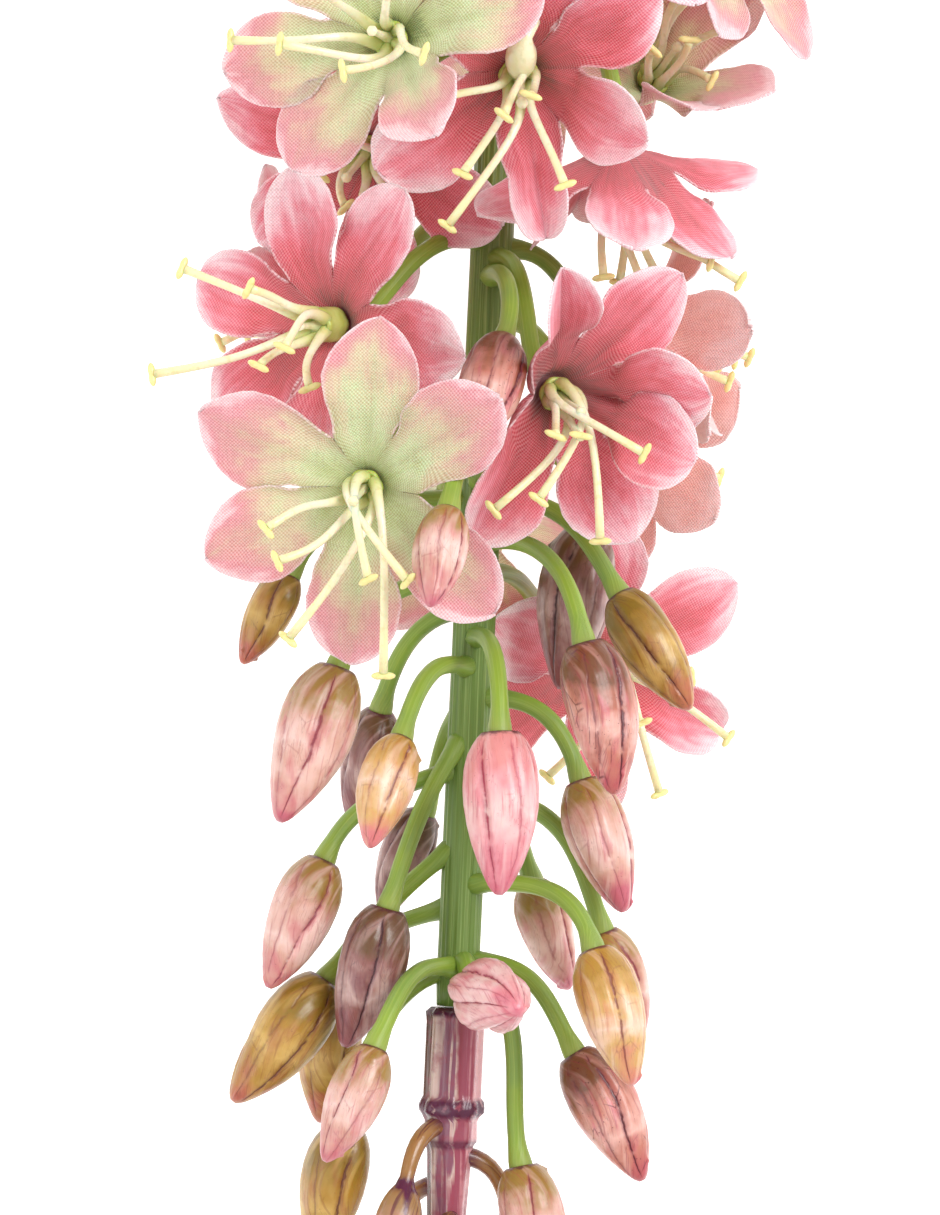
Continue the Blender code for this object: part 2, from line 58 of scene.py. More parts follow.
MM = 0.001
WELD = 0.004
CLOTH_WELD = 0.02
SETTLE_PLACE = Vector((0.6, -139.0, 52.45))
STEM_RADIUS = 3.5
STEM_LOW_Y = -66.4
STEM_CUT_Y = 430.0
STEM_STRAIGHT_TO = 150.0
BARE_DROP = 49.0
SEAT_GAP = 0.3
PETALS = 6
HALF_PETAL = math.radians(30.0)
THROAT_RADIUS = 2.4
NOTCH_SHARE = 0.34
TIP_LENGTH = 74.0
TIP_RADIUS = 4.7
TIP_BUDS = 11

UV_NAME = "flat"
MARK_NAME = "mark"

Colour = tuple[float, float, float]
Marks = tuple[float, float, float, float]


class Spot(NamedTuple):
    """Where a grid's point goes: its place, its flat coordinates and its marks."""

    place: Vector
    flat: tuple[float, float]
    marks: Marks


class PetalTone(Enum):
    """How the cloth of a flower is dyed."""

    PALE = "pale"
    DEEP = "deep"
    SALMON = "salmon"


class BudTone(Enum):
    """How a bud is painted."""

    BLUSH = "blush"
    PINK = "pink"
    VEINED = "veined"
    GOLDEN = "golden"
    OLIVE = "olive"
    DUSKY = "dusky"


NO_LIFTS = (0,) * PETALS


@dataclass(frozen=True)
class Flower:
    """One open flower: the middle of its throat, its facing, its six petals and stamens.

    turns are the petals' directions about the facing in degrees, opening is their angle
    from it, rise is how far up the stem the pedicel starts, lifts change each petal's
    opening, and stamens are the anthers' offsets from the hub, or empty for a fan.
    """

    hub: tuple
    facing: tuple
    turns: tuple
    opening: float
    length: float
    rise: float
    tone: PetalTone
    lifts: tuple = NO_LIFTS
    stamens: tuple = ()


@dataclass(frozen=True)
class Bud:
    """One closed bud, from its base on the pedicel to its point."""

    base: tuple
    point: tuple
    rise: float
    tone: BudTone
    lean: float = 0.0
    lobes: int = 3


def regular(first: float) -> tuple:
    """Petal directions, evenly spaced from the first."""
    return tuple(first + 60.0 * k for k in range(PETALS))


PALE, DEEP, SALMON = PetalTone

# What some flowers have of their own, by number: petals folded lengthwise, a larger hub,
# a hooded style, a bulbed hub, and dye that starts nearer the throat.
FOLDED = {2: (0, 0, 0, 0, 0, 0.75), 8: (0, 0, 0.75, 0.5, 0, 0), 11: (0.5, 0, 0, 0, 0, 0.5)}
HUB_SWELL = {2: 1.15}
HOODED, BULBED = {2}, {6}
FLUSHED = {4: 0.22}

FLOWERS = (
    Flower((-17, 89, 46.5), (-25, 0, 97), (16, 76, 136, 193, 236, 306), 80, 25, 16, PALE,
           (0, 0, 0, 0, 0, -36),
           ((-25, -2, 8), (-17, -3, 15), (-14, 8, 17), (-2, 10, 20), (5, -4, 21), (-7, -7, 19))),
    Flower((3, 87, 30), (5, -45, 90), (-9, 40, 86, 132, 215, 283), 74, 26, 20, DEEP,
           (-35, 0, 0, 0, 0, -8),
           ((-10, -26, 8), (-8, -18, 13), (8, -19, 13), (-13, -7, 16), (2, -6, 20), (-2, -9, 19))),
    Flower((19.5, 77.5, 16.5), (4, -100, -50), (24, 90, 150, 208, 261, 326), 72, 25, 24, DEEP,
           (-48, -48, -4, -24, -2, 0),
           ((16, -19, 2), (21, -22, 1), (6, -24, -4), (-1, -22, -2), (8, -21, -9), (2, -22, -11))),
    Flower((25, 89, -8.5), (30, 40, 76), (46, 94, 147, 213, 259, 318), 70, 25, 14, PALE,
           (0, 0, 0, -6, -40, -40),
           ((6, 6, 18), (13, 9, 12), (4, 14, 14), (0, 4, 20), (10, 0, 15), (8, 16, 9))),
    Flower((-20.4, 76, 4), (-30, -50, 80), (35, 92, 155, 214, 272, 335), 74, 25, 18, DEEP, NO_LIFTS,
           ((0, -12, 6), (-4, -11, 9), (4, -10, 6), (-8, -6, 10), (-12, 0, 10), (-5, 3, 12))),
    Flower((-24, 45, 24), (-50, -10, 84), (-12, 57, 105, 164, 216, 270), 80, 25, 16, DEEP,
           (0, 0, 0, 0, 0, -6),
           ((-25, 7, 11), (-29, -10, 11), (-14, 4, 17), (-12, -8, 17), (-4, -11, 17), (-8, -5, 20))),
    Flower((-18, 19, 38), (-15, -24, 95), (37, 85, 155, 205, 264, 318), 80, 27, 16, PALE,
           (-8, 0, 0, 0, 0, 0),
           ((-15, -8, 16), (-13, -13, 15), (-11, -25, 10), (1, -15, 17), (7, -15, 16), (4, -30, 8))),
    Flower((10.5, 36, 24.3), (38, -30, 86), (20, 54, 112, 244, 306, 346), 76, 27, 22, DEEP,
           (-42, 0, -22, 0, 0, -48),
           ((-8, -20, 14), (-1, -18, 17), (9, -24, 11), (15, -10, 15), (1, -8, 19), (5, -8, 20))),
    Flower((22.5, 48, -4), (90, -5, -12), regular(-6), 62, 24, 12, SALMON,
           (26, 0, 0, -26, -10, -30),
           ((19, -4, -6), (20, -1, -1), (18, -8, -2), (19, 2, -8), (21, -4, 2), (17, -5, -9))),
    Flower((22.5, 30, -25), (70, -15, -60), regular(30), 66, 22, 18, SALMON),
    Flower((19, -8, -31), (45, -25, 62), (-18, 38, 110, 162, 205, 276), 74, 28, 14, DEEP, NO_LIFTS,
           ((25, -12, 9), (14, -22, 6), (-5, -20, 9), (2, -14, 16), (10, -10, 18), (18, -2, 14))),
    Flower((32, 115, -6), (70, 30, 50), regular(-2), 74, 26, 12, PALE),
    Flower((21, 119, 25), (30, 35, 80), regular(40), 74, 25, 12, DEEP),
    Flower((-20, 124, 24), (-45, 35, 75), regular(20), 76, 25, 10, DEEP),
    Flower((-26, 50, -18), (-85, -10, -30), regular(8), 72, 25, 16, DEEP),
    Flower((4, 99, -28), (30, -10, -60), regular(30), 74, 25, 16, PALE),
    Flower((-5, 20, -28), (0, -75, -45), regular(0), 66, 25, 18, PALE,
           (0, 0, 0, 0, -25, -25)),
)

BUDS = (
    Bud((2.5, 43, 30.5), (-2, 26, 44.5), 12, BudTone.VEINED),
    Bud((-5, 15, 48), (-7, 0, 58), 6, BudTone.BLUSH),
    Bud((-31, 4, 4), (-38, -11, 6), 14, BudTone.OLIVE, 0.3),
    Bud((-22, -11, 20), (-30, -36, 26), 16, BudTone.BLUSH, 0.3),
    Bud((-15, -18, -4), (-19, -37, -8), 18, BudTone.DUSKY, 0.4),
    Bud((-11, -22, 28), (-15, -39, 37), 12, BudTone.GOLDEN),
    Bud((5, -20, 26), (6, -46, 30), 15, BudTone.PINK),
    Bud((18, 14, -5), (15, -13, -4), 14, BudTone.DUSKY),
    Bud((24, 3, 8), (36, -15, 14), 15, BudTone.OLIVE),
    Bud((18, -5, 24), (24, -29, 28), 16, BudTone.VEINED),
    Bud((19, -28, 4), (27, -49, 8), 13, BudTone.BLUSH),
    Bud((-7, -35, -12), (-13, -53, -14), 18, BudTone.DUSKY, 0.5),
    Bud((-23, -43, 8), (-31, -64, 12), 16, BudTone.BLUSH, 0.6),
    Bud((-12, -50, 13), (-18, -73, 14), 28, BudTone.DUSKY, 0.8),
    Bud((12, -46, -14), (19, -64, -18), 13, BudTone.BLUSH),
    Bud((22, -55, 20), (29, -76, 26), 9, BudTone.GOLDEN),
    Bud((24, -53, -2), (31, -71, -4), 21, BudTone.BLUSH),
    Bud((3, -63, 10), (10, -64, 34), 4, BudTone.PINK, lobes=5),
    Bud((-22, -63, 6), (-36, -83, 11), 23, BudTone.OLIVE, 0.85),
    Bud((-20, -66, -10), (-22, -88, -12), 16, BudTone.OLIVE, 0.6),
    Bud((-13, -72, 27), (-20, -90, 32), 12, BudTone.BLUSH),
    Bud((20, -73, 6), (32, -93, 10), 14, BudTone.VEINED),
    Bud((-17, -87, 2), (-21, -110, 0), 27, BudTone.OLIVE, 0.5),
    Bud((12, -92, 6), (18, -114, 8), 31, BudTone.BLUSH, 0.3),
)


# ---------------------------------------------------------------- plain helpers


def smooth(low: float, high: float, value: float) -> float:
    """Ease from 0 to 1.

    Args:
        low: where it is 0, which may be the greater of the two.
        high: where it is 1.
        value: the place.

    Returns:
        The share from 0 to 1.
    """
    share = min(max((value - low) / (high - low), 0.0), 1.0)
    return share * share * (3.0 - 2.0 * share)


def interpolated(rows: Sequence[tuple[float, float]], at: float) -> float:
    """Value at a place on a table, straight between its rows.

    Args:
        rows: places and values, in order.
        at: the place.

    Returns:
        The value.
    """
    for (a, low), (b, high) in zip(rows, rows[1:]):
        if at <= b:
            return low + (high - low) * (at - a) / (b - a)
    return rows[-1][1]


def paint(colour: Colour) -> Colour:
    """Linear colour of a colour given as it looks on screen."""
    return tuple(c / 12.92 if c <= 0.04045 else ((c + 0.055) / 1.055) ** 2.4 for c in colour)


def facing_axes(facing: Sequence[float]) -> tuple[Vector, Vector, Vector]:
    """Axes of a piece that faces a way.

    Args:
        facing: the way, of any length.

    Returns:
        Right, up and outward unit vectors, with up as near as it goes to the stem's way.
    """
    outward = Vector(facing).normalized()
    stem_way = Vector((0.0, 1.0, 0.0))
    up = (stem_way - outward * stem_way.dot(outward)).normalized()
    return up.cross(outward), up, outward


def seated(place: Sequence[float], facing: Sequence[float]) -> Matrix:
    """Matrix in millimetres that puts a piece's own frame at its place on the spray."""
    turn = Matrix(facing_axes(facing)).transposed().to_4x4()
    return Matrix.Translation(Vector(place)) @ turn


def round_z(angle: float, size: float = 1.0, height: float = 0.0) -> Vector:
    """Point at an angle and distance round Z, and at a height."""
    return Vector((math.cos(angle) * size, math.sin(angle) * size, height))


def curve(ends: Sequence[Vector], steps: int, count: int) -> list[Vector]:
    """Points on a cubic Bezier curve.

    Args:
        ends: its two ends and, between them, their handles.
        steps: steps in the whole curve.
        count: how many points to give from its start.

    Returns:
        The points.
    """
    a, b, c, d = ends
    points = []
    for k in range(count):
        share = k / steps
        rest = 1.0 - share
        points.append(a * rest**3 + b * 3 * rest**2 * share + c * 3 * rest * share**2 + d * share**3)
    return points


def ripple(seed: float, *at: float) -> float:
    """Smooth noise from -1 to 1 at a place."""
    x, y, z = (*at, 0.0, 0.0, 0.0)[:3]
    return noise.noise(Vector((x + 17.3 * seed, y - 9.1 * seed, z + 4.7 * seed)))


def bell(away: float, width: float) -> float:
    """1 in the middle, sinking to 0 about two widths away."""
    return math.exp(-((away / width) ** 2))


def wrapped_angle(x: float) -> float:
    """Angle for x from -1 to 1, the same at both ends so that the seam closes."""
    return math.pi if abs(x) > 0.9999 else math.pi * x


def stem_height(y: float) -> float:
    """Height of the stem's axis: level beside the flowers, then sinking to the cut end."""
    share = max(y - STEM_STRAIGHT_TO, 0.0) / (STEM_CUT_Y - STEM_STRAIGHT_TO)
    return -BARE_DROP * (0.55 * share * share * (3.0 - 2.0 * share) + 0.45 * share * share)


# ---------------------------------------------------------------- meshes


class Former:
    """A bmesh in millimetres that grids are shaped onto, and that ends as a piece."""

    def __init__(self) -> None:
        """Start an empty mesh with its flat coordinates and marks."""
        self.bm = bmesh.new()
        self.uv = self.bm.loops.layers.uv.new(UV_NAME)
        self.mark = self.bm.verts.layers.float_color.new(MARK_NAME)

    def grid(self, columns: int, rows: int, shape: Callable[[float, float], Spot]) -> None:
        """Lay a grid and shape it.

        Args:
            columns: faces across.
            rows: faces along.
            shape: gives the spot of the point at x from -1 to 1 and y from 0 to 1.
        """
        verts = bmesh.ops.create_grid(self.bm, x_segments=columns, y_segments=rows, size=1.0)["verts"]
        spots = {vert: shape(vert.co.x, (vert.co.y + 1.0) / 2.0) for vert in verts}
        for face in {face for vert in verts for face in vert.link_faces}:
            for loop in face.loops:
                loop[self.uv].uv = spots[loop.vert].flat
        for vert, spot in spots.items():
            vert.co = spot.place
            vert[self.mark] = spot.marks

    def tube(self, points: Sequence[Vector], radius: Callable[[float, float], float],
             marks: Callable[[float, float], Marks], sides: int) -> Vector:
        """Lay a closed tube along a path, with a pole at each end.

        Args:
            points: the path, one ring for each point.
            radius: gives the radius at a share of the path and an angle.
            marks: gives the marks at a share of the path and an angle.
            sides: faces round the tube.

        Returns:
            The forward axis at the path's end.
        """
        frames = path_frames(points)
        last = len(points) - 1

        def shape(x: float, y: float) -> Spot:
            """Spot on a ring, or on the pole before the first or after the last."""
            row = round(y * (last + 2)) - 1
            at = min(max(row, 0), last)
            angle = wrapped_angle(x)
            full = radius(at / last, angle)
            point, side, over, _ = frames[at]
            reach = side * math.cos(angle) + over * math.sin(angle)
            along = (points[at] - points[0]).length
            place = point + reach * (full if 0 <= row <= last else 0.0)
            return Spot(place, (angle * full, along), marks(at / last, angle))

        self.grid(sides, last + 2, shape)
        return frames[last][3]

    def turned(self, profile: Sequence[tuple[float, float, float]], sides: int, waves: float) -> None:
        """Lay a surface turned about Z.

        Args:
            profile: rows of radius, height and share along.
            sides: faces round it.
            waves: depth of its six waves, as a share of the radius.
        """
        last = len(profile) - 1

        def shape(x: float, y: float) -> Spot:
            """Spot on a row of the profile."""
            size, height, share = profile[round(y * last)]
            angle = wrapped_angle(x)
            size *= 1.0 + waves * math.cos(PETALS * angle)
            return Spot(round_z(angle, size, height), (angle * size, height), (share, 0.0, 0.0, 1.0))

        self.grid(sides, last, shape)

    def ball(self, centre: Vector, axes: Sequence[Vector], sizes: Sequence[float], marks: Marks,
             dent: float, sides: int) -> None:
        """Lay an oval lump, pinched at the middle of its first axis.

        Args:
            centre: the middle of the lump.
            axes: three unit vectors.
            sizes: half the lump's size along each axis.
            marks: its marks.
            dent: share of the section lost at the middle.
            sides: faces round it.
        """
        def shape(x: float, y: float) -> Spot:
            """Spot on the lump."""
            turn, lean = wrapped_angle(x), math.pi * y
            section = math.sin(lean) * (1.0 - dent * bell(math.cos(lean), 0.35))
            place = centre + axes[0] * (sizes[0] * math.cos(lean))
            place = place + axes[1] * (sizes[1] * section * math.cos(turn))
            return Spot(place + axes[2] * (sizes[2] * section * math.sin(turn)), (turn, lean), marks)

        self.grid(sides, sides, shape)

    def finish(self, name: str, place: Matrix, thickness: float) -> bpy.types.Object:
        """Close the mesh and hand it over as a smooth piece in metres.

        Args:
            name: the piece's name.
            place: where it sits on the spray.
            thickness: thickness of its sheet, or 0 for a closed shape.

        Returns:
            The piece.
        """
        bm = self.bm
        bmesh.ops.remove_doubles(bm, verts=bm.verts, dist=WELD)
        bmesh.ops.dissolve_degenerate(bm, dist=WELD / 8.0, edges=bm.edges)
        bmesh.ops.recalc_face_normals(bm, faces=bm.faces)
        if thickness:
            bmesh.ops.solidify(bm, geom=list(bm.faces), thickness=thickness)
            bmesh.ops.recalc_face_normals(bm, faces=bm.faces)
        bmesh.ops.transform(bm, matrix=Matrix.Translation(SETTLE_PLACE) @ place, verts=bm.verts)
        bmesh.ops.scale(bm, vec=(MM, MM, MM), verts=bm.verts)
        piece = linked(name, bm)
        piece.data.shade_smooth()
        return piece


def linked(name: str, bm: bmesh.types.BMesh) -> bpy.types.Object:
    """Make a bmesh into an object of the scene.

    Args:
        name: its name.
        bm: the bmesh, which is freed.

    Returns:
        The object.
    """
    mesh = bpy.data.meshes.new(name)
    bm.to_mesh(mesh)
    bm.free()
    made = bpy.data.objects.new(name, mesh)
    bpy.context.scene.collection.objects.link(made)
    return made


def path_frames(points: Sequence[Vector]) -> list[tuple[Vector, Vector, Vector, Vector]]:
    """Axes along a path, turned as little as possible.

    Args:
        points: the path.

    Returns:
        The point, side, over and forward axes at each of its points.
    """
    forward = (points[1] - points[0]).normalized()
    helper = Vector((0.0, 0.0, 1.0)) if abs(forward.z) < 0.8 else Vector((1.0, 0.0, 0.0))
    side = forward.cross(helper).normalized()
    over = forward.cross(side).normalized()
    frames = []
    for k, point in enumerate(points):
        ahead = (points[min(k + 1, len(points) - 1)] - points[max(k - 1, 0)]).normalized()
        turn = forward.rotation_difference(ahead)
        forward, side, over = ahead, turn @ side, turn @ over
        frames.append((point, side, over, forward))
    return frames


# ---------------------------------------------------------------- finishes


@dataclass(frozen=True)
class Wire:
    """A value on its way through a shader, which takes plain arithmetic."""

    shader: Shader
    socket: bpy.types.NodeSocket

    def __add__(self, other: Wire | float) -> Wire:
        """Add a value."""
        return self.shader.math("ADD", self, other)

    def __sub__(self, other: Wire | float) -> Wire:
        """Take a value away."""
        return self.shader.math("SUBTRACT", self, other)

    def __rsub__(self, other: float) -> Wire:
        """Take this value away from a number."""
        return self.shader.math("SUBTRACT", other, self)

    def __mul__(self, other: Wire | float) -> Wire:
        """Multiply by a value."""
        return self.shader.math("MULTIPLY", self, other)

    def __abs__(self) -> Wire:
        """Distance from nought."""
        return self.shader.math("ABSOLUTE", self)

    def band(self, low: float, high: float) -> Wire:
        """Ease the value from 0 to 1.

        Args:
            low: where it is 0.
            high: where it is 1.

        Returns:
            The eased value.
        """
        made = self.shader.node("ShaderNodeMapRange", Value=self, From_Min=low, From_Max=high)
        made.interpolation_type = "SMOOTHSTEP"
        return Wire(self.shader, made.outputs["Result"])


class Shader:
    """A Principled material that is wired up one node at a time."""

    def __init__(self, name: str, **sockets: object) -> None:
        """Make the material and set uniform values on the surface's own sockets.

        Args:
            name: the material's name.
            sockets: plain values, with _ for each space of a socket's name.
        """
        self.material = bpy.data.materials.new(name)
        self.material.use_nodes = True
        self.tree = self.material.node_tree
        self.surface = self.tree.nodes["Principled BSDF"]
        self.dress(**sockets)

    def wire(self, value: object, socket: bpy.types.NodeSocket) -> None:
        """Link a socket, or set its plain value.

        Args:
            value: a wire, a number, a vector or a linear colour.
            socket: the socket that takes it.
        """
        if isinstance(value, Wire):
            self.tree.links.new(value.socket, socket)
        elif socket.type == "RGBA":
            socket.default_value = (*value, 1.0)
        else:
            socket.default_value = value

    def node(self, kind: str, **inputs: object) -> bpy.types.Node:
        """Add a node.

        Args:
            kind: its type.
            inputs: values of its named inputs, with _ for each space.

        Returns:
            The node.
        """
        made = self.tree.nodes.new(kind)
        for name, value in inputs.items():
            self.wire(value, made.inputs[name.replace("_", " ")])
        return made

    def math(self, operation: str, a: Wire | float, b: Wire | float = 0.0) -> Wire:
        """Add one step of arithmetic.

        Args:
            operation: what it does.
            a: its first value.
            b: its second value.

        Returns:
            The result.
        """
        made = self.tree.nodes.new("ShaderNodeMath")
        made.operation = operation
        self.wire(a, made.inputs[0])
        self.wire(b, made.inputs[1])
        return Wire(self, made.outputs[0])

    def mix(self, share: Wire | float, a: Wire | Colour, b: Wire | Colour, blend: str = "MIX") -> Wire:
        """Blend two linear colours.

        Args:
            share: share of the second one.
            a: the first colour.
            b: the second colour.
            blend: the kind of blend.

        Returns:
            The blended colour.
        """
        made = self.tree.nodes.new("ShaderNodeMix")
        made.data_type = "RGBA"
        made.blend_type = blend
        for value, place in ((share, 0), (a, 6), (b, 7)):
            self.wire(value, made.inputs[place])
        return Wire(self, made.outputs[2])

    def over(self, colour: Wire | Colour, share: Wire | float, coat: Colour) -> Wire:
        """Lay a coat, given as it looks, over a colour by a share."""
        return self.mix(share, colour, paint(coat))

    def tinted(self, colour: Wire, tint: Colour) -> Wire:
        """Multiply a colour by a tint."""
        return self.mix(1.0, colour, tint, "MULTIPLY")

    def ramp(self, value: Wire, stops: Sequence[tuple[float, Colour]]) -> Wire:
        """Colour a value between stops.

        Args:
            value: where on the ramp.
            stops: places and colours as they look, in order; the last place may pass 1.

        Returns:
            The colour.
        """
        top = max(stops[-1][0], 1.0)
        made = self.tree.nodes.new("ShaderNodeValToRGB")
        elements = made.color_ramp.elements
        elements[0].position, elements[1].position = stops[0][0] / top, stops[-1][0] / top
        elements[0].color, elements[1].color = (*paint(stops[0][1]), 1.0), (*paint(stops[-1][1]), 1.0)
        for position, colour in stops[1:-1]:
            elements.new(position / top).color = (*paint(colour), 1.0)
        self.wire(value * (1.0 / top), made.inputs[0])
        return Wire(self, made.outputs[0])

    def marks(self) -> list[Wire]:
        """Read the piece's own marks.

        Returns:
            The marks, in order.
        """
        made = self.tree.nodes.new("ShaderNodeAttribute")
        made.attribute_name = MARK_NAME
        split = self.node("ShaderNodeSeparateColor", Color=Wire(self, made.outputs["Color"]))
        return [Wire(self, socket) for socket in (*split.outputs, made.outputs["Alpha"])]

    def scaled(self, vector: bpy.types.NodeSocket, scale: tuple) -> Wire:
        """Scale coordinates along each axis."""
        return Wire(self, self.node("ShaderNodeMapping", Vector=Wire(self, vector), Scale=scale).outputs[0])

    def flat(self, across: float = 1.0, along: float = 1.0) -> Wire:
        """Read the piece's flat coordinates in millimetres.

        Args:
            across: scale across.
            along: scale along.

        Returns:
            The scaled coordinates.
        """
        made = self.tree.nodes.new("ShaderNodeUVMap")
        made.uv_map = UV_NAME
        return self.scaled(made.outputs[0], (across, along, 1.0))

    def noise(self, vector: Wire, scale: float, detail: float) -> Wire:
        """Cloudy noise from 0 to 1."""
        made = self.node("ShaderNodeTexNoise", Vector=vector, Scale=scale, Detail=detail)
        return Wire(self, made.outputs[0])

    def cloud(self, scale: float, detail: float) -> Wire:
        """Noise through the whole body of the piece, with its scale in turns for a millimetre."""
        made = self.tree.nodes.new("ShaderNodeTexCoord")
        return self.noise(self.scaled(made.outputs["Object"], (1000.0, 1000.0, 1000.0)), scale, detail)

    def grain(self, across: float, along: float, detail: float) -> Wire:
        """Noise drawn out over the piece's flat coordinates."""
        return self.noise(self.flat(across, along), 1.0, detail)

    def bump(self, height: Wire, distance: float, strength: float) -> None:
        """Raise the surface by a height, with distance in millimetres."""
        made = self.node("ShaderNodeBump", Height=height, Strength=strength, Distance=distance * MM)
        self.dress(Normal=Wire(self, made.outputs[0]))

    def dress(self, **sockets: object) -> None:
        """Wire the surface's named sockets, with _ for each space."""
        for socket, value in sockets.items():
            self.wire(value, self.surface.inputs[socket.replace("_", " ")])


@dataclass(frozen=True)
class ClothFinish:
    """Plain-woven polyester, dyed from the throat to the rim and pressed."""

    name: str
    stops: tuple[tuple[float, Colour], ...]
    # Colour of painted shade in the folds between the joined petals and along the midrib crease.
    fold_shade: Colour
    rim: Colour
    edge_shift: float = 0.3
    cloud_shift: float = 0.5
    streak_shift: float = 0.35
    pitch: float = 0.58
    bleed: Colour = (1.0, 0.6, 0.55)
    thread_tint: Colour = (0.84, 0.72, 0.74)
    # Tint of painted shade in the weave's hollows, and the near-white of a painted highlight on its crowns.
    weave_shade_tint: Colour = (0.80, 0.66, 0.67)
    weave_highlight: Colour = (1.0, 0.97, 0.95)

    def dyed(self, made: Shader, along: Wire, across: Wire) -> Wire:
        """Dye the cloth along its petals, further at their sides and in streaks.

        Args:
            made: the shader that it goes into.
            along: the share along the petal.
            across: the share across it.

        Returns:
            The colour.
        """
        side = abs(across * 2.0 - 1.0)
        drift = made.cloud(0.03, 0.0) * 9.0
        petal = made.node("ShaderNodeCombineXYZ", X=across * 7.0, Y=along, Z=drift)
        streak = made.noise(Wire(made, petal.outputs[0]), 1.6, 3.0) - 0.5
        dye = along + (made.cloud(0.13, 3.0) - 0.5) * self.cloud_shift
        dye = dye + side * side * along * self.edge_shift + streak * self.streak_shift
        return made.ramp(dye, self.stops)

    def woven(self, made: Shader) -> tuple[Wire, Wire, Wire]:
        """Weave the cloth.

        Args:
            made: the shader that it goes into.

        Returns:
            The height of the weave, its uneven threads and the fuzz of its fibres, from 0 to 1.
        """
        flat = made.flat()
        drift = made.noise(flat, 0.12, 1.0) * 1.2
        fuzz = made.noise(flat, 3.2, 3.0)
        split = made.node("ShaderNodeSeparateXYZ", Vector=flat)
        warp, weft = (made.math("SINE", (Wire(made, split.outputs[axis]) + drift) * (math.tau / self.pitch))
                      for axis in (0, 1))
        slubs = made.grain(2.4, 0.25, 1.0) + made.grain(0.25, 2.4, 1.0)
        return warp * weft * 0.5 + 0.5, slubs.band(0.85, 1.35), fuzz

    def material(self) -> bpy.types.Material:
        """Wire the cloth.

        Returns:
            The material, which reads the share along a petal, the nearness to its rim,
            the painted shade of the folds between petals and of the midrib crease, and the share across
            from the marks.
        """
        made = Shader(self.name, Roughness=0.85, Sheen_Weight=0.15, Sheen_Roughness=0.5,
                      Subsurface_Weight=0.3, Subsurface_Scale=0.0015, Subsurface_Radius=self.bleed)
        along, rim, fold_shade, across = made.marks()
        # Painted shade: the cloth darkens towards this colour in the folds between the joined petals and
        # along the midrib crease.
        colour = made.over(self.dyed(made, along, across), fold_shade * 0.7, self.fold_shade)
        weave, threads, fuzz = self.woven(made)
        colour = made.over(colour, rim.band(0.3, 1.0) * fuzz.band(0.3, 0.58) * 0.75, self.rim)
        colour = made.mix(threads * 0.6, colour, made.tinted(colour, self.thread_tint))
        # Painted shade and highlight: the weave's height darkens its hollows and lightens its crowns
        # towards white.
        weave_shade, weave_highlight = made.tinted(colour, self.weave_shade_tint), made.mix(0.22, colour, self.weave_highlight)
        made.dress(Base_Color=made.mix(weave, weave_shade, weave_highlight))
        made.bump(weave + fuzz * 0.9, 0.11, 0.8)
        return made.material


@dataclass(frozen=True)
class StamenFinish:
    """Glossy translucent plastic, green at the hub, cream along and yellow at the heads."""

    name: str = "moulded stamens"
    hub: Colour = (0.66, 0.72, 0.32)
    root: Colour = (0.82, 0.83, 0.56)
    stalk: Colour = (0.93, 0.91, 0.81)
    end: Colour = (0.91, 0.88, 0.67)
    head: Colour = (0.90, 0.86, 0.59)
    shade: Colour = (0.74, 0.70, 0.36)

    def material(self) -> bpy.types.Material:
        """Wire the plastic.

        Returns:
            The material, which reads the share along and the head from the marks.
        """
        made = Shader(self.name, Roughness=0.26, IOR=1.46, Subsurface_Weight=0.4,
                      Subsurface_Scale=0.0012, Coat_Weight=0.2, Coat_Roughness=0.12)
        along, head, _, _ = made.marks()
        along = along + (made.cloud(0.35, 2.0) - 0.5) * 0.3
        colour = made.ramp(along, ((0.0, self.hub), (0.25, self.root), (0.55, self.stalk), (1.0, self.end)))
        colour = made.over(colour, head, self.head)
        made.dress(Base_Color=made.over(colour, made.cloud(0.9, 2.0).band(0.52, 0.75) * 0.3, self.shade))
        made.bump(made.cloud(1.6, 2.0), 0.16, 0.6)
        return made.material


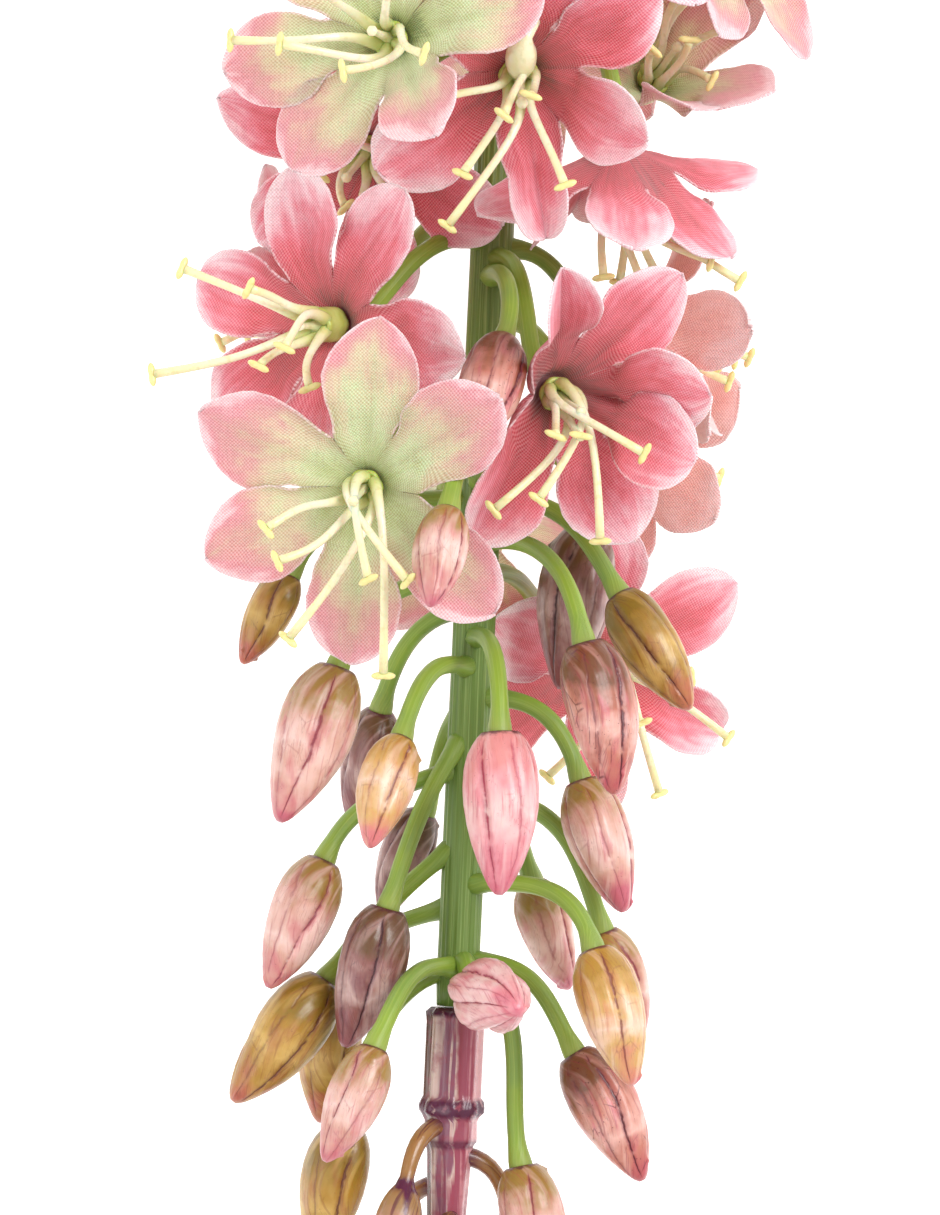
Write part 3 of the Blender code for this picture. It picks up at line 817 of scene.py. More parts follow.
@dataclass(frozen=True)
class BudFinish:
    """Painted satin plastic: base, middle and point colours with maroon seams and veins."""

    name: str
    base: Colour
    middle: Colour
    point: Colour
    vein: Colour = (0.58, 0.17, 0.30)
    line: Colour = (0.46, 0.12, 0.20)
    vein_strength: float = 0.8
    speckle: float = 0.5
    pale: Colour = (0.93, 0.83, 0.80)
    blush: Colour = (0.80, 0.40, 0.47)
    speck: Colour = (0.30, 0.08, 0.12)
    collar: Colour = (0.34, 0.10, 0.17)
    varnish: Colour = (0.88, 0.77, 0.74)

    def washed(self, made: Shader, along: Wire, drift: Wire) -> Wire:
        """Paint the bud from base to point, with pale and rosy patches.

        Args:
            made: the shader that it goes into.
            along: the share along the bud.
            drift: how far the paint has strayed along it.

        Returns:
            The colour.
        """
        colour = made.ramp(along + drift, (
            (0.04, self.base), (0.2, self.base), (0.38, self.middle), (0.56, self.pale),
            (0.74, self.middle), (0.96, self.point)))
        colour = made.over(colour, made.grain(0.45, 0.07, 2.0).band(0.5, 0.68) * 0.5, self.pale)
        rosy = made.grain(0.4, 0.13, 3.0).band(0.5, 0.68) * (along.band(0.1, 0.36) * 0.8 + 0.2)
        return made.over(colour, rosy * (0.6 * self.vein_strength), self.blush)

    def veined(self, made: Shader, colour: Wire, streaks: Wire, cloud: Wire) -> Wire:
        """Draw the broad veins and the hair lines beside them.

        Args:
            made: the shader that it goes into.
            colour: the paint under them.
            streaks: noise drawn out along the bud.
            cloud: noise that gathers the lines in places.

        Returns:
            The colour.
        """
        colour = made.over(colour, streaks.band(0.55, 0.7) * (0.45 * self.vein_strength), self.vein)
        hair = 1.0 - abs(streaks - 0.47).band(0.0, 0.02)
        return made.over(colour, hair * (cloud.band(0.44, 0.58) * (0.4 * self.vein_strength)), self.line)

    def material(self) -> bpy.types.Material:
        """Wire the paint.

        Returns:
            The material, which reads the share along, the two waves that cross nought at
            the seams and the bud's own shade from the marks.
        """
        made = Shader(self.name, IOR=1.48, Subsurface_Weight=0.15, Subsurface_Scale=0.0015,
                      Coat_Weight=0.3, Coat_Roughness=0.24)
        along, sine, cosine, shade = made.marks()
        cloud, fine = made.cloud(0.2, 3.0), made.cloud(0.9, 3.0)
        streaks = made.grain(1.5, 0.12, 3.0)
        colour = self.washed(made, along, (cloud - 0.5) * 0.6 + (shade - 0.5) * 0.16)
        colour = self.veined(made, colour, streaks, cloud)

        away = abs((sine - 0.5) * 2.0 + (made.cloud(0.55, 3.0) - 0.5) * 0.5)
        between_ends = along.band(0.03, 0.12) * (1.0 - along.band(0.93, 1.0))
        seam = (cosine.band(0.4, 0.6) * 0.55 + 0.45) * (between_ends * made.cloud(0.4, 2.0).band(0.3, 0.5))
        wash = (1.0 - away.band(0.0, 0.62)) * (seam * (0.62 * self.vein_strength))
        thin = 1.0 - away.band(0.03, 0.17)
        colour = made.over(colour, wash, self.vein)
        colour = made.over(colour, thin * (seam * self.vein_strength), self.line)

        cells = made.node("ShaderNodeTexVoronoi", Vector=made.flat(0.36, 0.16), Scale=1.0)
        cells.feature = "DISTANCE_TO_EDGE"
        crack = 1.0 - Wire(made, cells.outputs["Distance"]).band(0.0, 0.035)
        colour = made.over(colour, crack * (cloud.band(0.5, 0.62) * self.speckle), self.line)
        colour = made.over(colour, made.cloud(2.2, 1.0).band(0.72, 0.77) * self.speckle, self.speck)
        ragged = along + (fine - 0.5) * 0.06
        colour = made.over(colour, (1.0 - ragged.band(0.005, 0.03)) * 0.85, self.collar)
        made.dress(Base_Color=made.tinted(colour, self.varnish), Roughness=fine * 0.3 + 0.24)
        made.bump(streaks * 0.55 + fine * 0.4 - thin * seam * 0.8, 0.24, 0.8)
        return made.material


@dataclass(frozen=True)
class StemFinish:
    """Satin green plastic with fine lengthwise striations, brighter on the pedicels."""

    name: str = "moulded stem"
    stem: Colour = (0.40, 0.51, 0.21)
    line: Colour = (0.54, 0.63, 0.35)
    groove: Colour = (0.31, 0.41, 0.13)
    pedicel: Colour = (0.52, 0.62, 0.20)
    pedicel_dull: Colour = (0.46, 0.57, 0.24)
    pedicel_light: Colour = (0.66, 0.73, 0.36)
    pedicel_end: Colour = (0.58, 0.62, 0.30)

    def material(self) -> bpy.types.Material:
        """Wire the plastic.

        Returns:
            The material, which reads the pedicel, its root and its end from the marks.
        """
        made = Shader(self.name, IOR=1.47, Subsurface_Weight=0.1, Subsurface_Scale=0.001)
        pedicel, root, end, _ = made.marks()
        lines, broad = made.grain(3.4, 0.03, 3.0), made.grain(0.6, 0.012, 2.0)
        stem = made.over(paint(self.stem), lines.band(0.48, 0.7), self.line)
        stem = made.over(stem, (1.0 - lines).band(0.5, 0.72) * 0.5, self.groove)
        stem = made.over(stem, broad.band(0.5, 0.7) * 0.3, self.groove)
        arm = made.over(paint(self.pedicel), made.cloud(0.09, 3.0).band(0.35, 0.7), self.pedicel_dull)
        arm = made.over(arm, lines.band(0.45, 0.75) * 0.5, self.pedicel_light)
        arm = made.over(made.over(arm, root * 0.6, self.stem), end * 0.5, self.pedicel_end)
        made.dress(Base_Color=made.mix(pedicel, stem, arm), Roughness=lines * 0.2 + 0.3)
        made.bump(lines + broad * 0.4, 0.16, 0.6)
        return made.material


@dataclass(frozen=True)
class TipFinish:
    """Ribbed plastic in mauve, cream and a dark brownish tone that painted shade deepens on the side away
    from the key light, with dark ragged rims and dusky buds.
    """

    name: str = "moulded tip"
    # Colour of the rod's -X side: partly the tip's own dark colour, partly painted shade away from the key
    # light.
    brown_and_shade: Colour = (0.33, 0.19, 0.15)
    mauve: Colour = (0.52, 0.31, 0.38)
    cream: Colour = (0.80, 0.70, 0.66)
    maroon: Colour = (0.59, 0.27, 0.34)
    pink: Colour = (0.83, 0.60, 0.62)
    rim: Colour = (0.33, 0.10, 0.22)
    stalk: Colour = (0.60, 0.42, 0.22)
    bud: Colour = (0.60, 0.46, 0.30)
    bud_end: Colour = (0.78, 0.52, 0.50)

    def material(self) -> bpy.types.Material:
        """Wire the plastic.

        Returns:
            The material, which reads the small bud, the rim, the share along and the
            place round the rod from its -X side, which also places painted shade on that side, from the
            marks.
        """
        made = Shader(self.name, Roughness=0.27, IOR=1.47, Subsurface_Weight=0.15,
                      Subsurface_Scale=0.0012, Coat_Weight=0.2, Coat_Roughness=0.2)
        bud, rim, along, rod_side = made.marks()
        lines, fine = made.grain(0.9, 0.05, 3.0), made.cloud(0.8, 3.0)
        # Painted shade: the ramp runs round the rod from its -X side, away from the key light, where the
        # darkest stop is partly painted shade, to the pink +X side.
        rod = made.ramp(rod_side + (lines - 0.5) * 0.5, (
            (0.12, self.brown_and_shade), (0.24, self.cream), (0.30, self.cream), (0.38, self.mauve),
            (0.49, self.mauve), (0.53, self.cream), (0.58, self.maroon), (0.7, self.maroon),
            (0.84, self.pink), (1.0, self.pink)))
        rod = made.over(rod, made.cloud(0.35, 4.0).band(0.46, 0.62) * 0.55, self.maroon)
        arm = made.ramp(along + fine * 0.3, (
            (0.1, self.stalk), (0.35, self.bud), (0.9, self.bud_end), (1.2, self.pink)))
        arm = made.over(arm, made.grain(1.4, 0.1, 2.0).band(0.55, 0.66) * 0.7, self.rim)
        edge = rim.band(0.2, 0.7) * fine.band(0.25, 0.45)
        made.dress(Base_Color=made.over(made.mix(bud, rod, arm), edge, self.rim))
        made.bump(lines + fine * 0.5, 0.2, 0.6)
        return made.material


CLOTHS = {
    PALE: ClothFinish(
        "pale green and pink cloth",
        ((0.0, (0.46, 0.58, 0.24)), (0.12, (0.66, 0.76, 0.45)), (0.38, (0.77, 0.86, 0.63)),
         (0.60, (0.84, 0.80, 0.64)), (0.80, (0.84, 0.62, 0.59)), (1.0, (0.87, 0.56, 0.60)),
         (1.2, (0.95, 0.80, 0.82))),
        (0.58, 0.58, 0.30), (0.94, 0.84, 0.85), edge_shift=0.45, cloud_shift=0.8, streak_shift=0.4),
    DEEP: ClothFinish(
        "deep pink cloth",
        ((0.0, (0.52, 0.03, 0.09)), (0.18, (0.70, 0.07, 0.17)), (0.42, (0.80, 0.15, 0.26)),
         (0.62, (0.87, 0.30, 0.40)), (0.82, (0.91, 0.49, 0.57)), (1.02, (0.95, 0.71, 0.76)),
         (1.3, (0.98, 0.88, 0.90))),
        (0.64, 0.07, 0.16), (0.96, 0.86, 0.88), edge_shift=0.55, cloud_shift=0.8, streak_shift=0.7),
    SALMON: ClothFinish(
        "salmon cloth",
        ((0.0, (0.84, 0.66, 0.46)), (0.3, (0.92, 0.64, 0.58)), (0.7, (0.95, 0.72, 0.70)),
         (1.0, (0.97, 0.82, 0.82))),
        (0.86, 0.50, 0.48), (0.97, 0.88, 0.88), cloud_shift=0.8),
}

PAINTS = {
    BudTone.BLUSH: BudFinish(
        "blush bud paint", (0.62, 0.51, 0.22), (0.84, 0.68, 0.62), (0.78, 0.42, 0.49),
        vein=(0.68, 0.24, 0.32), line=(0.54, 0.15, 0.24), speckle=0.25),
    BudTone.PINK: BudFinish(
        "pink bud paint", (0.88, 0.60, 0.60), (0.92, 0.68, 0.71), (0.84, 0.47, 0.55),
        vein=(0.74, 0.20, 0.33), line=(0.68, 0.18, 0.32), vein_strength=0.9, speckle=0.3,
        pale=(0.95, 0.84, 0.84), blush=(0.84, 0.42, 0.50)),
    BudTone.VEINED: BudFinish(
        "veined bud paint", (0.46, 0.28, 0.14), (0.76, 0.50, 0.43), (0.72, 0.32, 0.36),
        vein=(0.56, 0.13, 0.22), line=(0.36, 0.06, 0.13), vein_strength=1.0, speckle=0.8,
        pale=(0.90, 0.74, 0.70)),
    BudTone.GOLDEN: BudFinish(
        "golden bud paint", (0.70, 0.56, 0.20), (0.84, 0.70, 0.42), (0.84, 0.50, 0.51),
        vein=(0.66, 0.30, 0.22), vein_strength=0.65, speckle=0.25,
        pale=(0.94, 0.85, 0.75), blush=(0.82, 0.52, 0.42)),
    BudTone.OLIVE: BudFinish(
        "olive bud paint", (0.54, 0.45, 0.11), (0.68, 0.54, 0.19), (0.74, 0.42, 0.33),
        vein=(0.48, 0.19, 0.12), line=(0.34, 0.10, 0.10), vein_strength=0.75, speckle=0.3,
        pale=(0.82, 0.71, 0.40), blush=(0.62, 0.32, 0.22)),
    BudTone.DUSKY: BudFinish(
        "dusky bud paint", (0.40, 0.28, 0.14), (0.56, 0.38, 0.36), (0.56, 0.30, 0.33),
        vein=(0.38, 0.12, 0.19), line=(0.24, 0.06, 0.11), vein_strength=0.95, speckle=0.3,
        pale=(0.76, 0.66, 0.64), blush=(0.44, 0.18, 0.24)),
}


# ---------------------------------------------------------------- sub-assemblies


class SubAssembly:
    """A piece of the spray that is formed as one mesh and dressed in one finish."""

    name: str
    thickness: float = 0.0
    kind: ClassVar[str] = "moulding"
    former: Former

    def form(self) -> None:
        """Lay the piece's surfaces."""
        raise NotImplementedError

    def slot(self) -> str:
        """Name the slot of its finish."""
        return self.name

    def seat(self) -> Matrix:
        """Find where it sits on the spray."""
        return Matrix.Identity(4)

    def build(self, material: bpy.types.Material) -> bpy.types.Object:
        """Form the piece and dress it.

        Args:
            material: its finish.

        Returns:
            The piece, which stands for the solid of its name.
        """
        self.former = Former()
        self.form()
        piece = self.former.finish(f"{self.name}_{self.kind}", self.seat(), self.thickness)
        piece.data.materials.append(material)
        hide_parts(self.name)
        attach(piece, "root")
        LOG.info("%s: %d faces", piece.name, len(piece.data.polygons))
        return piece


@dataclass
class Corolla(SubAssembly):
    """Six petals cut as one piece of cloth, joined round the throat and pressed."""

    name: str
    flower: Flower
    folded: tuple = NO_LIFTS
    flush: float = 0.0
    half_width: float = 8.3
    reference_length: float = 28.0
    throat_angle: float = 36.0
    opening_share: float = 0.25
    tip_curl: float = 14.0
    notch_lift: float = 0.9
    keel: float = 0.9
    dimples: float = 0.7
    ruffles: float = 0.8
    crease: float = 0.4
    frayed: float = 0.8
    thickness: float = 0.32
    columns: int = 16
    rows: int = 36
    quirk_ranges: tuple = (
        ("seed", 0.0, 50.0), ("length", 0.98, 1.04), ("width", 0.95, 1.05), ("sway", -0.9, 0.9),
        ("twist", -0.2, 0.2), ("shade", -0.09, 0.09), ("point", 0.0, 1.0), ("cup", 0.2, 2.4))
    kind: ClassVar[str] = "cloth"
    quirks: list = field(init=False)
    area: float = field(init=False)

    def __post_init__(self) -> None:
        """Draw each petal's own small differences."""
        rng = random.Random(self.name)
        self.quirks = [{quirk: rng.uniform(low, high) for quirk, low, high in self.quirk_ranges}
                       for _ in range(PETALS)]

    def midrib(self, opening: float, length: float, share: float) -> tuple[float, float]:
        """Follow a petal's midrib.

        Args:
            opening: the petal's angle from the facing, in degrees.
            length: its length.
            share: how far along it.

        Returns:
            The distance out and the height.
        """
        steps = 12
        out, height = THROAT_RADIUS, 0.0
        for k in range(steps):
            at = share * (k + 0.5) / steps
            ease = smooth(0.0, self.opening_share, at)
            angle = self.throat_angle + (opening - self.throat_angle) * ease + self.tip_curl * at * at
            out += math.sin(math.radians(angle)) * length * share / steps
            height += math.cos(math.radians(angle)) * length * share / steps
        return out, height

    def outline(self, notch_out: float, length: float, share: float, point: float) -> float:
        """Cut a petal's outline.

        Args:
            notch_out: how far out the notch is.
            length: the petal's length.
            share: how far along it.
            point: 0 for a round tip to 1 for a pointed one.

        Returns:
            Half the width there.
        """
        free = max((share - NOTCH_SHARE) / (1.0 - NOTCH_SHARE), 0.0)
        start = notch_out * math.tan(HALF_PETAL) * 0.94
        full = self.half_width * length / self.reference_length
        swell = start + (full - start) * math.sin(math.pi / 2.0 * min(free / 0.5, 1.0))
        narrowing = 1.0 - max((free - 0.4) / 0.6, 0.0) ** (2.4 - 0.5 * point)
        return swell * max(narrowing, 0.0025) ** (0.5 + 0.22 * point)

    def joined(self, index: int, share: float, across: float) -> tuple[Vector, float, float]:
        """Place a point where the petals are still one piece.

        Args:
            index: which petal.
            share: how far along it, up to the notch.
            across: from -1 to 1, at the folds between it and its neighbours.

        Returns:
            The place, and the midrib's distance out and height there.
        """
        flower, side = self.flower, abs(across)
        step = 1 if across >= 0.0 else -1
        turn = flower.turns[index]
        gap = (step * (flower.turns[(index + step) % PETALS] - turn)) % 360.0 / 2.0
        own_out, own_height = self.midrib(flower.opening + flower.lifts[index], flower.length, share)
        fold_out, fold_height = self.midrib(flower.opening, flower.length, share)
        out = own_out + (fold_out - own_out) * side * side
        height = own_height + (fold_height - own_height) * side * side
        inward = 1.0 - min(math.cos(math.radians(gap)) / math.cos(HALF_PETAL), 1.0)
        ease = share / NOTCH_SHARE
        out *= 1.0 - inward * ease * side * side
        height += self.notch_lift * ease * ease * side**3
        return round_z(math.radians(turn + gap * across), out, height), own_out, own_height

    def petal_spot(self, index: int, x: float, y: float) -> Spot:
        """Shape a petal's grid.

        Args:
            index: which petal.
            x: from -1 to 1 across it.
            y: from 0 at the throat to 1 at its tip.

        Returns:
            The spot, in the flower's own frame.
        """
        flower, quirk = self.flower, self.quirks[index]
        seed = quirk["seed"]
        share = 1.0 - (1.0 - y) ** 1.35
        across = math.sin(x * math.pi / 2.0)
        side, parted = abs(across), share > NOTCH_SHARE
        place, own_out, own_height = self.joined(index, min(share, NOTCH_SHARE), across)

        free = smooth(NOTCH_SHARE, NOTCH_SHARE + 0.2, share)
        opening = flower.opening + flower.lifts[index]
        length = flower.length * (1.0 + (quirk["length"] - 1.0) * free)
        tip_out, tip_height = self.midrib(opening, length, share)
        notch_out, _ = self.midrib(opening, length, NOTCH_SHARE)
        wide = self.outline(notch_out, flower.length, share, quirk["point"])
        wide *= 1.0 + (quirk["width"] - 1.0) * free
        uneven = 0.03 * ripple(seed, share * 7.0, across) + 0.02 * ripple(seed, share * 30.0, across)
        folded = self.folded[index] * free
        spoke = math.radians(flower.turns[index])
        along, aside = round_z(spoke), round_z(spoke + math.pi / 2.0)
        if parted:
            aside_by = wide * across * (1.0 + uneven * free) * (1.0 - 0.5 * folded)
            aside_by += quirk["sway"] * free * free
            lift = self.keel * quirk["cup"] * 4.0 * share * (1.0 - share) * across * across
            lift += quirk["twist"] * wide * across * free + folded * 0.8 * wide * side
            petal = along * tip_out + aside * aside_by + Vector((0.0, 0.0, tip_height + lift))
            shifted = place + along * (tip_out - own_out) + Vector((0.0, 0.0, tip_height - own_height))
            place = shifted.lerp(petal, smooth(NOTCH_SHARE, NOTCH_SHARE + 0.14, share))

        place.z += self.dimples * ripple(seed, place.x * 0.16, place.y * 0.16) * smooth(0.1, 0.6, share)
        place.z += self.ruffles * side * side * ripple(seed + 3.0, share * 4.5, across * 1.5) * free
        place.z -= self.crease * bell(across, 0.12) * smooth(0.12, 0.35, share) * (1.0 - share)

        reach = THROAT_RADIUS + flower.length * share
        offset = wide * across if parted else reach * math.tan(HALF_PETAL) * across
        flat = (along.x * reach - along.y * offset, along.y * reach + along.x * offset)
        rim_by = min(wide * (1.0 - side), (1.0 - share) * flower.length) if parted else math.inf
        # Painted shade: the third mark darkens the cloth in the folds between the joined petals and along
        # the pressed midrib crease.
        fold_shade = side**4 * smooth(0.05, 0.3, share) * (1.0 - smooth(0.4, 0.6, share))
        pressed = 0.75 * bell(across, 0.2) * smooth(0.1, 0.4, share) * (1.0 - share)
        dyed = share + quirk["shade"] + self.flush
        rim = max(1.0 - rim_by / self.frayed, 0.0)
        return Spot(place, flat, (dyed, rim, max(fold_shade, pressed), 0.5 + 0.5 * across))

    def form(self) -> None:
        """Lay the petals, join them at their folds and close the throat."""
        for index in range(PETALS):
            self.former.grid(self.columns, self.rows, lambda x, y, k=index: self.petal_spot(k, x, y))
        bm = self.former.bm
        bmesh.ops.remove_doubles(bm, verts=bm.verts, dist=CLOTH_WELD)
        throat = [edge for edge in bm.edges if edge.is_boundary
                  and max(vert.co.xy.length for vert in edge.verts) < THROAT_RADIUS * 1.3]
        bmesh.ops.edgeloop_fill(bm, edges=throat)
        self.area = sum(face.calc_area() for face in bm.faces) * MM * MM

    def slot(self) -> str:
        """Name the slot of its dye."""
        return f"petal_{self.flower.tone.value}"

    def seat(self) -> Matrix:
        """Find its throat's place and facing."""
        return seated(self.flower.hub, self.flower.facing)

    def build(self, material: bpy.types.Material) -> bpy.types.Object:
        """Args:
            material: the cloth.

        Returns:
            The piece.
        """
        piece = super().build(material)
        return piece


@dataclass
class Stamens(SubAssembly):
    """A hub with six curved filaments, each with a two-lobed head, and a pistil."""

    name: str
    flower: Flower
    swell: float = 1.0
    hooded: bool = False
    bulb: bool = False
    bulb_rise: float = 3.4
    bulb_profile: tuple = (
        (0.0, 0.0, 0.1), (1.9, 0.1, 0.1), (2.5, 0.9, 0.05), (3.0, 2.6, 0.05), (2.95, 4.4, 0.1),
        (2.75, 5.8, 0.1), (2.95, 6.8, 0.05), (2.9, 7.4, 0.05), (2.5, 7.6, 0.1), (2.0, 7.0, 0.25),
        (1.4, 6.8, 0.3), (0.8, 7.6, 0.35),
        (0.6, 9.0, 0.4), (0.55, 11.0, 0.5), (0.8, 12.2, 0.6), (0.0, 12.6, 0.7))
    hub_radius: float = 2.1
    hub_profile: tuple = (
        (0.0, 0.0, 0.1), (1.5, 0.05, 0.1), (2.15, 0.5, 0.05), (2.6, 1.4, 0.0), (2.9, 2.2, 0.0),
        (2.88, 2.65, 0.0),
        (2.6, 2.9, 0.05), (2.25, 2.75, 0.2), (1.95, 2.35, 0.3), (1.55, 2.3, 0.3), (1.15, 2.8, 0.3),
        (0.85, 3.8, 0.32), (0.68, 5.4, 0.38), (0.58, 8.0, 0.45), (0.54, 10.6, 0.5), (0.6, 11.8, 0.55),
        (0.85, 12.5, 0.7), (0.75, 13.0, 0.8), (0.0, 13.2, 0.8))
    hood_route: tuple = ((0.0, 0.5, 2.0), (-0.2, 2.6, 6.5), (-0.6, 6.0, 9.5), (0.3, 9.2, 9.0),
                         (1.8, 10.6, 6.6))
    hood_profile: tuple = ((0.0, 1.3), (0.2, 2.0), (0.45, 2.9), (0.65, 2.6), (0.85, 1.2), (1.0, 0.7))
    stalk_radius: float = 0.66
    root_radius: float = 1.15
    head: tuple[float, float, float] = (1.95, 0.72, 0.7)
    head_dent: float = 0.28
    hub_sides: int = 30
    hub_waves: float = 0.04
    reach: float = 25.0
    stations: int = 14

    def tips(self) -> list[Vector]:
        """Find the heads' places, as the flower states them or in a fan.

        Returns:
            The places in the flower's own frame, in order round the hub.
        """
        axes = facing_axes(self.flower.facing)
        tips = [Vector(tuple(axis.dot(Vector(tip)) for axis in axes)) for tip in self.flower.stamens]
        for k in range(0 if tips else PETALS):
            spread, rise = (0.3, 0.75) if k % 2 else (0.45, 0.6)
            tips.append(round_z(math.radians(60.0 * k + 20.0), self.reach * spread, self.reach * rise))
        return sorted(tips, key=lambda tip: math.atan2(tip.y, tip.x))

    def filament(self, index: int, tip: Vector, rng: random.Random) -> None:
        """Lay one filament and its head.

        Args:
            index: its place round the hub.
            tip: where its head is.
            rng: draws its sway.
        """
        outward = round_z(-math.pi + math.pi / 6.0 + index * math.pi / 3.0)
        rise = self.bulb_rise if self.bulb else 0.0
        root = outward * self.hub_radius * 0.35 + Vector((0.0, 0.0, 1.8 + rise))
        start = outward * (self.hub_radius * 0.7 + 0.6) + Vector((0.0, 0.0, 4.0 + rise))
        bend = start + Vector((0.0, 0.0, tip.length * 0.3)) + outward * 1.6
        sway = Vector((rng.uniform(-1.1, 1.1), rng.uniform(-1.1, 1.1), rng.uniform(-0.4, 0.9)))
        waver = Vector((rng.uniform(-0.6, 0.6), rng.uniform(-0.6, 0.6), rng.uniform(-0.3, 0.3)))
        path = [root.lerp(start, k / 3.0) for k in range(3)]
        for k in range(self.stations + 1):
            share = k / self.stations
            rest = 1.0 - share
            path.append(start * rest**2 + bend * 2.0 * rest * share + tip * share**2
                        + sway * math.sin(math.pi * share) + waver * math.sin(math.tau * share))

        def radius(share: float, _: float) -> float:
            """Thick at the root, slim along and a little thicker at the head."""
            slim = self.root_radius + (self.stalk_radius - self.root_radius) * smooth(0.05, 0.6, share)
            return slim * (1.0 + 0.12 * smooth(0.85, 1.0, share))

        onward = self.former.tube(path, radius, lambda share, _: (share, 0.0, 0.0, 1.0), 9)
        lean = rng.uniform(-0.6, 0.6)
        level = Vector(tuple(axis.z for axis in facing_axes(self.flower.facing)))
        side = onward.cross(level).normalized()
        side = side * math.cos(lean) + onward.cross(side) * math.sin(lean)
        axes = (side, onward, onward.cross(side))
        self.former.ball(tip + onward * 0.45, axes, self.head, (1.0, 1.0, 0.0, 1.0), self.head_dent, 12)

    def lay_hood(self) -> None:
        """Lay the thick hooded style that stands over this flower's hub."""
        route = [Vector(spot) for spot in self.hood_route]
        path = curve(route[:4], 14, 15)
        path += [route[3].lerp(route[4], 0.5) + Vector((0.1, 0.5, 0.4)), route[4]]

        def radius(share: float, angle: float) -> float:
            """Follow the hood's profile, a little flattened and uneven."""
            full = interpolated(self.hood_profile, share)
            return full * (1.0 + 0.12 * math.cos(2.0 * angle) + 0.05 * ripple(3.0, angle, share * 3.0))

        self.former.tube(path, radius, lambda share, _: (0.3 + 0.3 * share, 0.25, 0.0, 1.0), 16)

    def form(self) -> None:
        """Lay the hub with its pistil, then the filaments."""
        rng = random.Random(self.name)
        profile = self.bulb_profile if self.bulb else self.hub_profile
        self.former.turned([(size * self.swell, SEAT_GAP + height * self.swell, share)
                            for size, height, share in profile], self.hub_sides, self.hub_waves)
        if self.hooded:
            self.lay_hood()
        for index, tip in enumerate(self.tips()):
            self.filament(index, tip, rng)

    def slot(self) -> str:
        """Name the slot that all stamens share."""
        return "stamens"

    def seat(self) -> Matrix:
        """Find the hub's place and facing."""
        return seated(self.flower.hub, self.flower.facing)


@dataclass
class ClosedBud(SubAssembly):
    """A moulded bud of three wrapped lobes, with seams, a blunt collar and a point."""

    name: str
    bud: Bud
    width_share: float = 0.235
    lobe_swell: float = 0.045
    overlap: float = 0.05
    seam_depth: float = 0.10
    seam_width: float = 0.34
    lesser_depth: float = 0.055
    lesser_width: float = 0.30
    swerve: float = 1.1
    lumps: float = 0.05
    nub: float = 0.5
    sides: int = 72
    rows: int = 40
    profile: tuple = ((0.0, 0.50), (0.03, 0.62), (0.07, 0.73), (0.13, 0.86), (0.22, 0.96), (0.33, 1.0),
                      (0.45, 0.985), (0.57, 0.91), (0.69, 0.78), (0.8, 0.61), (0.89, 0.43), (0.95, 0.29),
                      (0.985, 0.18), (1.0, 0.10))

    def form(self) -> None:
        """Lay the wrapped lobes from the collar to the point."""
        rng = random.Random(self.name)
        length, lobes = self.axis().length, self.bud.lobes
        seed, first = rng.uniform(0.0, 50.0), rng.uniform(0.0, math.tau)
        wind, shade = rng.uniform(-0.5, 0.5), rng.uniform(0.1, 0.9)
        bow = Vector((rng.uniform(-0.5, 0.5), rng.uniform(-0.5, 0.5), 0.0))
        nubs = [(rng.uniform(0.0, math.tau), rng.choice((0.05, 0.12, 0.9, 0.96))) for _ in range(3)]
        swell = self.lobe_swell * (2.0 if lobes > 3 else 1.0)

        def phase(share: float, angle: float) -> float:
            """Angle round the lobes, a whole turn from one main seam to the next."""
            swerve = self.swerve * ripple(seed + 5.0, math.cos(angle), math.sin(angle), share * 1.8)
            return lobes * (angle - first - wind * share) + swerve

        def radius(share: float, angle: float) -> float:
            """Follow the profile, with wrapped lobes, seams, lumps and a few nubs."""
            wave = phase(share, angle)
            middle = math.sin(math.pi * min(max(share, 0.0), 1.0)) ** 0.6
            overlap = self.overlap * ((wave / math.tau) % 1.0 - 0.5)
            seams = self.seam_depth * bell(2.0 * math.sin(wave / 2.0), self.seam_width)
            seams += self.lesser_depth * bell(2.0 * math.cos(wave / 2.0), self.lesser_width)
            lumps = self.lumps * ripple(seed, math.cos(angle) * 1.2, math.sin(angle) * 1.2, share * 3.0)
            size = length * self.width_share * interpolated(self.profile, share)
            size *= 1.0 + (overlap - swell * math.cos(wave) - seams) * middle + lumps
            for place, level in nubs:
                away = (angle - place + math.pi) % math.tau - math.pi
                size += self.nub * bell(away, 0.14) * bell(share - level, 0.022)
            return size

        def marks(share: float, angle: float) -> Marks:
            """The share along, the waves that place the seams, and the bud's shade."""
            wave = phase(share, angle)
            return share, 0.5 + 0.5 * math.sin(wave), 0.5 + 0.5 * math.cos(wave), shade

        path = [Vector((0.0, 0.0, length * k / self.rows)) + bow * math.sin(math.pi * k / self.rows)
                for k in range(self.rows + 1)]
        self.former.tube(path, radius, marks, self.sides)

    def axis(self) -> Vector:
        """Run from its base to its point."""
        return Vector(self.bud.point) - Vector(self.bud.base)

    def slot(self) -> str:
        """Name the slot of its paint."""
        return f"bud_{self.bud.tone.value}"

    def seat(self) -> Matrix:
        """Find its base's place and its facing."""
        return seated(self.bud.base, self.axis())


